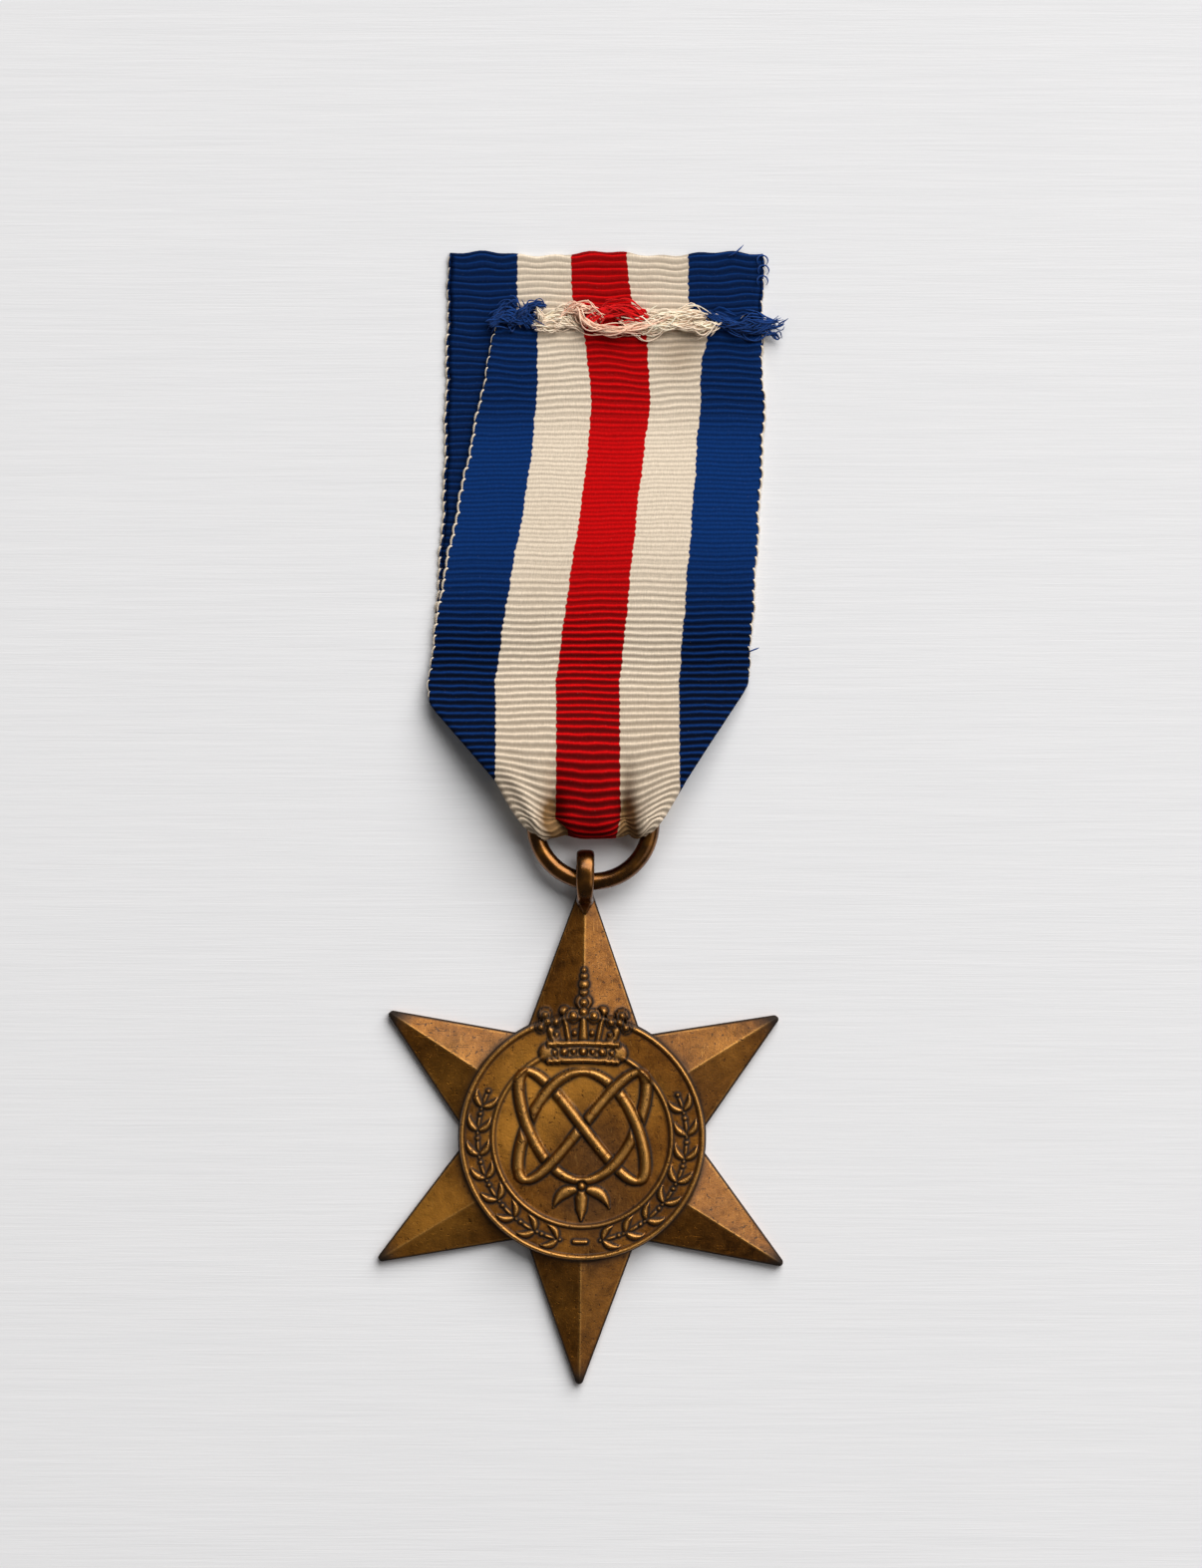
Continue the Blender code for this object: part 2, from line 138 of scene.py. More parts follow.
def mesh_piece(name, points, faces, material, uv=None, closed=True, sharp=None, **values):
    """An object at the origin from points in millimetres and arrays of faces, pointing outwards.

    values are numbers or colours to store at each point, for the material to read."""
    points = np.asarray(points, float).reshape(-1, 3)
    faces = [np.asarray(group) for group in faces]
    if closed and swells(points, faces) < 0:
        faces = [group[:, ::-1] for group in faces]
    corners = np.concatenate([group.ravel() for group in faces])
    sizes = np.concatenate([np.full(len(group), group.shape[1]) for group in faces])
    mesh = bpy.data.meshes.new(name)
    mesh.vertices.add(len(points))
    mesh.vertices.foreach_set("co", (points * MM).astype(np.float32).ravel())
    mesh.loops.add(len(corners))
    mesh.loops.foreach_set("vertex_index", corners.astype(np.int32))
    mesh.polygons.add(len(sizes))
    mesh.polygons.foreach_set("loop_start", (np.cumsum(sizes) - sizes).astype(np.int32))
    if uv is not None:
        layer = mesh.uv_layers.new(name="weave")
        layer.data.foreach_set("uv", np.asarray(uv, np.float32).reshape(-1, 2)[corners].ravel())
    for key, value in values.items():
        value = np.asarray(value, np.float32)
        if value.ndim == 2:
            colours = np.concatenate([value, np.ones((len(value), 1), np.float32)], 1)
            mesh.attributes.new(key, "FLOAT_COLOR", "POINT").data.foreach_set("color", colours.ravel())
        else:
            mesh.attributes.new(key, "FLOAT", "POINT").data.foreach_set("value", value.ravel())
    mesh.update(calc_edges=True)
    mesh.shade_smooth()
    if sharp is not None:
        mesh.set_sharp_from_angle(angle=math.radians(sharp))
    mesh.materials.append(material)
    return linked(name, mesh)


def carried(centre, side, up, profile, closed):
    """A profile carried along a path: each point is centre + side times profile x + up times profile y."""
    points = (centre[:, None] + side[:, None] * profile[None, :, :1] + up[:, None] * profile[None, :, 1:])
    rows, columns = points.shape[:2]
    if closed:
        points = np.concatenate([points, points[:1]])
        faces = [grid_faces(rows + 1, columns, wrap=True) % (rows * columns)]
        return points[:-1].reshape(-1, 3), faces
    ends = np.stack([np.arange(columns)[::-1], (rows - 1) * columns + np.arange(columns)])
    return points.reshape(-1, 3), [grid_faces(rows, columns, wrap=True), ends]


def rounded_section(half_width, half_height, power, count):
    """A superellipse: |x / half_width| ^ power + |y / half_height| ^ power = 1."""
    angle = np.linspace(0, 2 * np.pi, count, endpoint=False)
    cos, sin = np.cos(angle), np.sin(angle)
    x = half_width * np.sign(cos) * np.abs(cos) ** (2 / power)
    y = half_height * np.sign(sin) * np.abs(sin) ** (2 / power)
    return np.stack([x, y], 1)


def threads(lines, radius, sides=5, taper=0.35):
    """Thin round tubes round many lines at once, thinning to taper at both ends.

    lines is (threads, points, 3). At each point two directions square to the line carry a small circle."""
    lines = np.asarray(lines, float)
    count, length = lines.shape[:2]
    along = np.gradient(lines, axis=1)
    along /= np.linalg.norm(along, axis=2, keepdims=True) + 1e-9
    lift = np.where(np.abs(along[..., 2:]) > 0.8, [[[1.0, 0, 0]]], [[[0, 0, 1.0]]])
    first = np.cross(along, lift)
    first /= np.linalg.norm(first, axis=2, keepdims=True)
    second = np.cross(along, first)
    share = np.linspace(0, 1, length)
    thin = taper + (1 - taper) * smooth(0, 0.25, share) * smooth(1, 0.75, share)
    size = (np.broadcast_to(np.asarray(radius, float), (count,))[:, None] * thin)[..., None, None]
    turn = np.linspace(0, 2 * np.pi, sides, endpoint=False)[:, None]
    points = lines[:, :, None] + size * (first[:, :, None] * np.cos(turn) + second[:, :, None] * np.sin(turn))
    start = np.arange(count)[:, None, None] * length * sides
    walls = (grid_faces(length, sides, wrap=True)[None] + start).reshape(-1, 4)
    loop = np.arange(sides)
    caps = np.concatenate([loop[::-1] + start[:, 0], loop + (length - 1) * sides + start[:, 0]])
    return points.reshape(-1, 3), [walls, caps]


# ---------------------------------------------------------------- shader maths

class Wire:
    """A shader socket that arithmetic works on: each operation adds a Math node."""

    def __init__(self, net, socket):
        self.net, self.socket = net, socket

    def math(self, kind, *values):
        return self.net.node("ShaderNodeMath", {"operation": kind}, dict(enumerate(values)))

    def __add__(self, other):
        return self.math("ADD", self, other)

    def __sub__(self, other):
        return self.math("SUBTRACT", self, other)

    def __rsub__(self, other):
        return self.math("SUBTRACT", other, self)

    def __mul__(self, other):
        return self.math("MULTIPLY", self, other)

    def __pow__(self, other):
        return self.math("POWER", self, other)

    __radd__, __rmul__ = __add__, __mul__

    def sine(self):
        return self.math("SINE", self)

    def low(self, other):
        return self.math("MINIMUM", self, other)

    def step(self, low, high):
        """A smooth step from 0 at low to 1 at high."""
        return self.net.node("ShaderNodeMapRange", {"interpolation_type": "SMOOTHSTEP"},
                             {"Value": self, "From Min": low, "From Max": high})


class Net:
    """A material's node tree, and the few nodes that every finish here is made of."""

    def __init__(self, name):
        self.material = bpy.data.materials.new(name)
        self.material.use_nodes = True
        self.tree = self.material.node_tree
        self.shader = self.tree.nodes["Principled BSDF"]

    def node(self, kind, settings=None, inputs=None, output=0):
        made = self.tree.nodes.new(kind)
        for key, value in (settings or {}).items():
            if key == "stops":
                self.set_stops(made.color_ramp, value)
            else:
                setattr(made, key, value)
        for key, value in (inputs or {}).items():
            self.feed(made.inputs[key], value)
        return Wire(self, made.outputs[output])

    def feed(self, socket, value):
        if isinstance(value, Wire):
            self.tree.links.new(value.socket, socket)
        else:
            socket.default_value = value

    @staticmethod
    def set_stops(ramp, stops):
        while len(ramp.elements) < len(stops):
            ramp.elements.new(1.0)
        for element, (place, colour) in zip(ramp.elements, stops):
            element.position, element.color = place, (*colour, 1.0)

    def place(self, *scale):
        """Object coordinates times a scale, so that a pattern's size is in millimetres."""
        source = self.node("ShaderNodeTexCoord", output=3)
        return self.node("ShaderNodeMapping", inputs={"Vector": source, "Scale": [s / MM for s in scale]})

    def noise(self, vector, detail=4.0, roughness=0.55, distortion=0.0):
        return self.node("ShaderNodeTexNoise", inputs={
            "Vector": vector, "Scale": 1.0, "Detail": detail, "Roughness": roughness,
            "Distortion": distortion})

    def value(self, name):
        """A number stored at each point of the mesh."""
        return self.node("ShaderNodeAttribute", {"attribute_name": name}, output=2)

    def colour(self, name):
        return self.node("ShaderNodeAttribute", {"attribute_name": name}, output=0)

    def weave(self):
        """The weave's own coordinates: millimetres across the cloth and along it."""
        uv = self.node("ShaderNodeUVMap", {"uv_map": "weave"})
        return [self.node("ShaderNodeSeparateXYZ", inputs={0: uv}, output=k) for k in (0, 1)]

    def flat(self, x, y):
        return self.node("ShaderNodeCombineXYZ", inputs={0: x, 1: y})

    def ramp(self, factor, *stops):
        return self.node("ShaderNodeValToRGB", {"stops": stops}, {0: factor})

    def mix(self, factor, first, second, how="MIX"):
        first, second = [c if isinstance(c, Wire) else (*c, 1.0) for c in (first, second)]
        return self.node("ShaderNodeMix", {"data_type": "RGBA", "blend_type": how},
                         {0: factor, 6: first, 7: second}, output=2)

    def bump(self, height, depth):
        """A bump of that depth in millimetres where height goes from 0 to 1."""
        return self.node("ShaderNodeBump", inputs={"Height": height, "Distance": depth * MM, "Strength": 1.0})

    def finish(self, **sockets):
        """Feeds the shader's sockets, given by their names with _ for a space."""
        for key, value in sockets.items():
            self.feed(self.shader.inputs[key.replace("_", " ")], value)
        return self.material


# ---------------------------------------------------------------- settings

def colour_setting(name, description, default):
    return FloatVectorProperty(name=name, description=description, default=default,
                               subtype="COLOR", size=3, min=0.0, max=1.0)


def size_setting(name, description, default):
    return FloatProperty(name=name, description=description, default=default * MM,
                         unit="LENGTH", precision=5, min=0.0)


class MedalSizes(PropertyGroup):
    """Sizes that can be changed without changing the frame."""

    rib_pitch: size_setting("Rib pitch", "Distance from one rib of the weave to the next", 0.69)
    rib_depth: size_setting("Rib depth", "Half the height of a rib where the weave is coarse", 0.085)
    cloth: size_setting("Cloth thickness", "Thickness of the ribbon", 0.22)
    stroke: size_setting("Stroke height", "Height of the interlaced line above the disc's field", 0.5)
    fray: IntProperty(name="Loose threads", description="Loose warp ends along the raw edge",
                      default=1300, min=0)
    seed: IntProperty(name="Seed", description="Seed of the loose threads' positions", default=7, min=0)


class MedalColours(PropertyGroup):
    """Colours of the finishes, in linear light."""

    blue: colour_setting("Blue", "Outer stripes", (0.0030, 0.034, 0.165))
    cream: colour_setting("Cream", "Inner stripes", (0.88, 0.735, 0.565))
    red: colour_setting("Red", "Middle stripe", (0.66, 0.002, 0.003))
    # Also the colour of a painted highlight along the ridges, the rims and just inside the outline.
    bronze_light: colour_setting("Rubbed bronze", "Metal where handling has cleaned it", (0.56, 0.270, 0.060))
    bronze: colour_setting("Bronze", "Metal under a thin patina", (0.225, 0.083, 0.007))
    bronze_dark: colour_setting("Patina", "Metal under a thick patina", (0.085, 0.028, 0.002))
    # Also the colour of painted shade beside the rims, at the disc's foot and on the outline's bevel.
    soot_and_shade: colour_setting("Recess grime", "Dirt left in the recesses", (0.010, 0.005, 0.002))
    table: colour_setting("Table", "Pale painted table top", (0.87, 0.862, 0.866))


# ---------------------------------------------------------------- finishes

def star_finish(colours):
    """Patina in soft mottles of three sizes; recess soiling and painted shade darken the hollows, the disc's
    foot, the outline's bevel and the lower field; rubbing and a painted highlight lighten the rims, ridges
    and edges; golden patches mark a satiny patina worn thin and are also painted light."""
    net = Net("star_bronze")
    broad = net.noise(net.place(0.16, 0.16, 0.16), detail=3.0, distortion=0.4)
    cloud = net.noise(net.place(0.75, 0.75, 0.75), detail=6.0, roughness=0.65, distortion=0.6)
    grain = net.noise(net.place(5.0, 5.0, 5.0), detail=4.0, roughness=0.7)
    scratch = net.noise(net.place(0.6, 8.0, 1.0), detail=3.0, distortion=0.5)
    pits = net.noise(net.place(2.4, 2.4, 2.4), detail=2.0).step(0.35, 0.29)
    marks = scratch.step(0.66, 0.72)
    hair = net.noise(net.place(7.0, 0.9, 1.0), detail=3.0, distortion=0.8).step(0.61, 0.68)
    patina = broad * 0.40 + cloud * 0.42 + grain * 0.18
    metal = net.ramp(patina, (0.38, colours.bronze_dark), (0.50, (0.195, 0.068, 0.0050)),
                     (0.63, (0.31, 0.116, 0.010)))
    grime, rub = net.value("grime"), net.value("rub")
    # Golden patches: a satiny patina, painted light.
    gold = (net.value("gold") * (0.55 + cloud * 0.9)).low(1.0)
    metal = net.mix(gold * 0.9, metal, (0.60, 0.272, 0.036))
    # Rubbed wear and a painted highlight.
    worn = (rub * (0.25 + cloud * 1.1)).low(1.0)
    metal = net.mix(worn * 0.9, metal, colours.bronze_light)
    metal = net.mix(hair * 0.28, metal, colours.bronze_light)
    metal = net.mix((pits * 0.75 + marks * 0.3).low(1.0), metal, colours.bronze_dark)
    # Recess soiling and painted shade.
    dirt_and_shade = (grime * (0.85 + cloud * 0.4)).low(1.0)
    metal = net.mix(dirt_and_shade * 0.97, metal, colours.soot_and_shade)
    height = cloud * 0.45 + grain * 0.35 - pits * 0.6 - marks * 0.25
    return net.finish(
        Base_Color=metal, Metallic=1.0 - dirt_and_shade * 0.6,
        Roughness=0.44 + cloud * 0.12 + dirt_and_shade * 0.2 - worn * 0.12 + gold * 0.14,
        Coat_Weight=(1.0 - dirt_and_shade) * (0.14 + cloud * 0.44), Coat_Roughness=0.36, Coat_IOR=1.5,
        Normal=net.bump(height, 0.10))


def ring_finish(colours):
    """Smoother bronze, polished by rubbing, with thin dark patches and fine scratches."""
    net = Net("ring_bronze")
    cloud = net.noise(net.place(0.5, 0.5, 0.5), detail=5.0, roughness=0.6)
    grain = net.noise(net.place(7.0, 7.0, 7.0), detail=3.0)
    metal = net.ramp(cloud, (0.38, colours.bronze_dark), (0.62, colours.bronze), (0.78, (0.32, 0.130, 0.018)))
    return net.finish(Base_Color=metal, Metallic=1.0, Roughness=0.20 + cloud * 0.16,
                      Coat_Weight=0.5, Coat_Roughness=0.2, Normal=net.bump(cloud * 0.5 + grain * 0.5, 0.012))


def cloth_finish(colours, pitch):
    """Warp stripes crossed by ribs: fine where coarse is 0, deep where it is 1.

    A rib's painted highlight is a thin bright crest, half of one plus the cosine of its place along the
    cloth, to the sixth power; painted shade takes the dark stripes almost to black between the crests and the
    cream ones to tan."""
    net = Net("ribbon_cloth")
    across, along = net.weave()
    coarse = net.value("coarse")
    ripple = along + (net.noise(net.flat(across * 0.7, along * 1.1), detail=2.0) - 0.5) * 0.16
    cord = ((ripple * (2 * math.pi / pitch) + 2.1).sine() + 1.0) * 0.5
    fine = ((ripple * (3 * math.pi / pitch)).sine() + 1.0) * 0.5
    yarn = net.noise(net.flat(across * 7.0, along * 1.3), detail=3.0)
    fuzz = net.noise(net.flat(across * 4.5, along * 6.0), detail=5.0, roughness=0.7)
    wander = (net.noise(net.flat(0.0, along * 1.4), detail=3.0) - 0.5) * 0.35
    edge = across + wander + (cord - 0.5) * 0.08
    stripes = [edge.step(place - 0.05, place + 0.05) for place in STRIPE_EDGES]
    dye = net.mix(stripes[0], colours.blue, colours.cream)
    dye = net.mix(stripes[1], dye, colours.red)
    dye = net.mix(stripes[2], dye, colours.cream)
    dye = net.mix(stripes[3], dye, colours.blue)
    pale = stripes[0] - stripes[1] + stripes[2] - stripes[3]
    ruddy = stripes[1] - stripes[2]
    # Painted highlight on each rib and painted shade between the ribs, deeper where coarse is 1, multiplied
    # into the dye with yarn and fuzz noise.
    crest = cord ** 6.0
    dark_rib = crest * 0.68 + cord * 0.12 + 0.055 + ruddy * (crest * 0.12 + 0.14)
    dark_fine = fine * 0.36 + 0.76
    pale_rib = 0.56 + cord * 0.12 + crest * 0.36
    pale_fine = fine * 0.07 + 0.95
    dark = dark_fine + (dark_rib - dark_fine) * coarse
    light = pale_fine + (pale_rib - pale_fine) * coarse
    shade = (dark + (light - dark) * pale) * (0.54 + yarn * 0.50 + fuzz * 0.42)
    grey = net.node("ShaderNodeCombineColor", inputs={0: shade, 1: shade, 2: shade})
    dye = net.mix(1.0, dye, grey, "MULTIPLY")
    dye = net.mix(fuzz.step(0.60, 0.74) * 0.06, dye, (0.75, 0.75, 0.78))
    age = net.noise(net.flat(across * 0.14, along * 0.11), detail=5.0).step(0.44, 0.72)
    # Brown for stains and for painted shade.
    stained_and_shaded = net.mix(1.0, dye, (0.36, 0.24, 0.13), "MULTIPLY")
    # coarse times one minus cord is painted shade in the deep grooves; the stored values add stains and
    # painted shade.
    dirt_and_shade = (age * 0.07 + coarse * (1.0 - cord) * 0.16 + net.value("stain")).low(1.0)
    dye = net.mix(dirt_and_shade * ((pale + ruddy) * 0.8 + 0.2), dye, stained_and_shaded)
    height = yarn * 0.25 + fuzz * 0.40 + fine * (1.0 - coarse) * 0.6
    return net.finish(Base_Color=dye, Roughness=0.78 + fuzz * 0.15, Specular_IOR_Level=0.08,
                      Normal=net.bump(height, 0.06))


def thread_finish():
    """Spun thread, dyed as each thread's own colour says, with lighter flecks."""
    net = Net("sewing_thread")
    fleck = net.noise(net.place(6.0, 6.0, 6.0), detail=4.0)
    dye = net.mix(fleck * 0.35, net.colour("dye"), (0.9, 0.8, 0.7), "SOFT_LIGHT")
    return net.finish(Base_Color=dye, Roughness=0.85, Sheen_Weight=0.15, Specular_IOR_Level=0.2,
                      Normal=net.bump(fleck, 0.02))


def table_finish(colours):
    """Pale paint with faint brush lines along X."""
    net = Net("table_top")
    brush = net.noise(net.place(0.035, 0.9, 1.0), detail=4.0, roughness=0.6)
    fine = net.noise(net.place(0.06, 3.2, 1.0), detail=4.0, roughness=0.75)
    tone = brush * 0.45 + fine * 0.55
    paint = net.mix(tone.step(0.36, 0.64) * 0.22, colours.table, (0.72, 0.72, 0.73))
    return net.finish(Base_Color=paint, Roughness=0.7, Specular_IOR_Level=0.3, Normal=net.bump(tone, 0.05))


# ---------------------------------------------------------------- star

TIPS = [(0.0, -25.7), (20.9, -12.95), (20.05, 12.6), (0.0, 27.3)]
VALLEYS = [(5.7, -10.5), (11.7, -0.2), (6.0, 10.5)]
TIP_ROUND = 0.42
TIP_REACH = 0.6
TOP_CUT = 25.3
STAR_EDGE = 1.0
STAR_APEX = 4.0
DISC_RADIUS = 12.7
FIELD_RADIUS = 8.95
FIELD_Z = 2.68
FIELD_DOME = 0.10
BORDER_Z = 2.74
RIMS = ((9.2, 0.23), (12.38, 0.27))
BORDER_RADIUS = 10.75
RIM_HEIGHT = 0.32
EDGE_ROUND, EDGE_DROP = 0.22, 0.16

# The skin's rings: shares of the way out over a ray, insets from the outline, then the side and the back
FINE_CELLS = 252
RAY_SHARES = (0, 0.03, 0.08, 0.15, 0.24, 0.34, 0.45, 0.56, 0.67, 0.78, 0.88, 0.95)
EDGE_INSETS = (0.16, 0.09, 0.04, 0.0)
SIDE_RINGS = ((0.0, 0.5), (0.0, 0.12), (0.04, 0.04), (0.12, 0.0), (2.0, 0.0))
BACK_RADII = (10.0, 5.0, 1.5)


def star_corner(index):
    """A corner of the right half of the star's outline: even ones are tips, odd ones valleys, from below."""
    x, y = VALLEYS[index // 2] if index % 2 else TIPS[index // 2]
    if index in (0, 2, 4):
        reach = 1 + TIP_REACH / math.hypot(x, y)
        return x * reach, y * reach
    return x, y


CORNERS = np.array([star_corner(index) for index in range(7)])
CORNER_ANGLES = np.arctan2(CORNERS[:, 1], CORNERS[:, 0])
CORNER_ANGLES[0] = -np.pi / 2


def right_side(angle):
    """The angle of the mirrored place on the star's right half, from minus pi to pi."""
    right = np.where(np.cos(angle) < 0, np.pi - angle, angle)
    return (right + np.pi) % (2 * np.pi) - np.pi


def spread_angles(angle):
    """Moves evenly spread angles so that every twelfth part ends on a tip or valley, closer near the tips.

    Within a part the share s from its tip becomes 0.3 s + 0.7 s squared."""
    whole = (angle + np.pi / 2) % (2 * np.pi)
    left = whole > np.pi
    part = np.where(left, 2 * np.pi - whole, whole) / (np.pi / 6)
    index = np.clip(np.floor(part).astype(int), 0, 5)
    share = part - index
    at = CORNER_ANGLES
    tip, valley = index + index % 2, index + 1 - index % 2
    from_tip = np.where(index % 2 == 0, share, 1 - share)
    found = at[tip] + (at[valley] - at[tip]) * (0.3 * from_tip + 0.7 * from_tip ** 2)
    return np.where(left, np.pi - found, found)


def star_radii(angle):
    """The outline's radius at each angle, sharp and as worn: its tips are arcs and the top one is cut off."""
    right = right_side(angle)
    index = np.clip(np.searchsorted(CORNER_ANGLES, right, side="right") - 1, 0, 5)
    a, b = CORNERS[index], CORNERS[index + 1]
    run, rise = b[:, 0] - a[:, 0], b[:, 1] - a[:, 1]
    line = (rise * a[:, 0] - run * a[:, 1]) / (rise * np.cos(right) - run * np.sin(right))
    tip = index + index % 2
    reach = np.hypot(CORNERS[tip, 0], CORNERS[tip, 1])
    off = right - CORNER_ANGLES[tip]
    other = CORNERS[index + 1 - index % 2]
    edge = np.stack([CORNERS[tip, 0] - other[:, 0], CORNERS[tip, 1] - other[:, 1]], 1)
    outward = CORNERS[tip] / reach[:, None]
    cos_half = (edge * outward).sum(1) / np.hypot(edge[:, 0], edge[:, 1])
    sin_half = np.sqrt(1 - cos_half ** 2)
    centre = reach - TIP_ROUND / sin_half
    cross = centre * np.sin(np.abs(off))
    arc = centre * np.cos(off) + np.sqrt(np.clip(TIP_ROUND ** 2 - cross ** 2, 0, None))
    worn = np.where((cross < TIP_ROUND * cos_half) & (tip != 6), np.minimum(arc, line), line)
    worn = np.where(np.sin(right) > 0.98, np.minimum(worn, TOP_CUT / np.maximum(np.sin(right), 0.1)), worn)
    return line, np.maximum(worn, DISC_RADIUS + 0.08)


class Relief:
    """Raised work on the star: how far it rises over the base, and where recess soiling with painted shade,
    and rubbing with a painted highlight, show.
    """

    def __init__(self, x, y, base):
        self.spots = np.stack([x, y], 1)
        self.base = base
        self.raised = np.zeros(len(x))
        self.grime = np.zeros(len(x))
        self.rub = np.zeros(len(x))

    def stroke(self, line, half, height, floor=None, carve=1.0, blunt=0.5, ends=False):
        """Raises a line. Its section is height (1 - q^2)^blunt, where q is the distance over the half-width.

        Earlier work is cut back round it, by carve. With ends, its two ends run on into their neighbours."""
        line = np.asarray(line, float)
        half = np.broadcast_to(np.asarray(half, float), (len(line),))
        margin = half.max() + 0.8
        low, high = line.min(0) - margin, line.max(0) + margin
        near = np.nonzero(((self.spots > low) & (self.spots < high)).all(1))[0]
        start, run = line[:-1], line[1:] - line[:-1]
        rel = self.spots[near][:, None] - start
        share = np.clip((rel * run).sum(2) / ((run ** 2).sum(1) + 1e-9), 0, 1)
        gap = np.linalg.norm(rel - share[..., None] * run, axis=2)
        width = half[:-1] + (half[1:] - half[:-1]) * share
        best = (gap / width).argmin(1)
        row = np.arange(len(near))
        q, beyond = (gap / width)[row, best], (gap - width)[row, best]
        along = (best + share[row, best]) / len(run)
        hold = smooth(0, 0.3, along) * smooth(1, 0.7, along) if ends else 1.0
        inside = q < 1
        top = height * np.clip(1 - q ** 2, 0, 1) ** blunt
        if floor is not None:
            top = np.maximum(floor[near] + top - self.base[near], 0.05)
        kept = 1 - carve * hold * (1 - smooth(0, 0.26, beyond))
        # A dark outline just outside the line: soiling in the recess and painted shade round the raised work;
        # its flanks get a little painted shade and its top a lighter rubbed colour, partly a painted
        # highlight.
        dark = 1.15 * np.exp(-(np.maximum(beyond, 0) / 0.23) ** 2)
        bed = 0 if floor is None else np.maximum(floor[near] - self.base[near], 0)
        before = self.raised[near]
        under = np.where(before > bed, bed + (before - bed) * kept, before * kept)
        self.raised[near] = np.where(inside, np.maximum(top, under if ends else 0), under)
        outside_grime_and_shade = np.maximum(self.grime[near], dark * np.where(beyond < 0.7, hold, 0))
        self.grime[near] = np.where(inside, 0.55 * smooth(0.72, 1.0, q) * hold, outside_grime_and_shade)
        self.rub[near] = np.where(inside, smooth(1.0, 0.25, q), self.rub[near] * kept)

    def bead(self, x, y, radius, height, **how):
        self.stroke([(x - 0.02, y), (x + 0.02, y)], radius, height, **how)


def leaf_line(start, end, bend, count=14):
    """A gently bowed line: the straight run plus bend times sin(pi t) to its left."""
    start, end = np.array(start, float), np.array(end, float)
    t = np.linspace(0, 1, count)[:, None]
    run = end - start
    return start + run * t + np.array([-run[1], run[0]]) * bend * np.sin(np.pi * t)


def leaf_half(width, count=14, base=0.18):
    """A leaf's half-width along it: widest a little before the middle, pointed at the end."""
    t = np.linspace(0, 1, count)
    return width * np.clip(np.sin(np.pi * t ** 0.8) * 0.85 + base * (1 - t), 0.06, None)


def knot_line(t):
    """The interlaced line: x swings twice while y swings three times."""
    return np.stack([6.55 * np.sin(2 * t), 1.15 + 5.6 * np.sin(3 * t + np.pi)], -1)


def add_knot(relief, height):
    """The interlaced line in short runs between its crossings, every second run over the others."""
    crossings = np.array([0, 1, 4, 5, 7, 8, 11, 12, 13, 16, 17, 19, 20, 23]) * np.pi / 12
    ahead = np.roll(crossings, -1) + np.where(np.arange(14) == 13, 2 * np.pi, 0)
    behind = np.roll(crossings, 1) - np.where(np.arange(14) == 0, 2 * np.pi, 0)
    runs = list(zip((behind + crossings) / 2, (ahead + crossings) / 2))
    for under in (1, 0):
        for first, last in runs[under::2]:
            t = np.linspace(first - 0.03, last + 0.03, 34)
            line = knot_line(t)
            run = np.gradient(line, axis=0)
            upright = np.abs(run[:, 1]) / np.linalg.norm(run, axis=1)
            relief.stroke(line, 0.36 + 0.24 * upright, height, ends=True)


def add_border(relief):
    """A chain of leaf pairs climbing both sides of the border from a dash at its foot."""
    def spot(degrees, radius=BORDER_RADIUS):
        angle = math.radians(degrees)
        return radius * math.cos(angle), radius * math.sin(angle)

    relief.stroke([spot(266.2), spot(269.5), spot(272.8)], 0.22, 0.3)
    for side, first in ((-1, 253.2), (1, 285.8)):
        for index in range(8):
            at = first + side * 13.35 * index
            relief.stroke([spot(at - side * 5.2), spot(at), spot(at + side * 3.4)], 0.15, 0.26)
            for reach in (1, -1):
                start = spot(at - side * 3.6, BORDER_RADIUS + 0.1 * reach)
                end = spot(at + side * 4.0, BORDER_RADIUS + 1.12 * reach)
                relief.stroke(leaf_line(start, end, -0.16 * side * reach, 10), leaf_half(0.36, 10), 0.36)
            relief.bead(*spot(at + side * 5.4), 0.2, 0.3)


def add_sprig(relief):
    """Three leaves fanning down from a small bead, under the interlaced line."""
    for side in (-1, 1):
        leaf = leaf_line((side * 0.3, -5.3), (side * 2.9, -7.3), 0.18 * side)
        relief.stroke(leaf, leaf_half(0.62), 0.42)
    relief.stroke([(0, -5.4), (0, -6.3), (0, -7.4), (0, -8.5)], [0.3, 0.66, 0.55, 0.12], 0.45)
    relief.bead(0, -5.0, 0.42, 0.5)


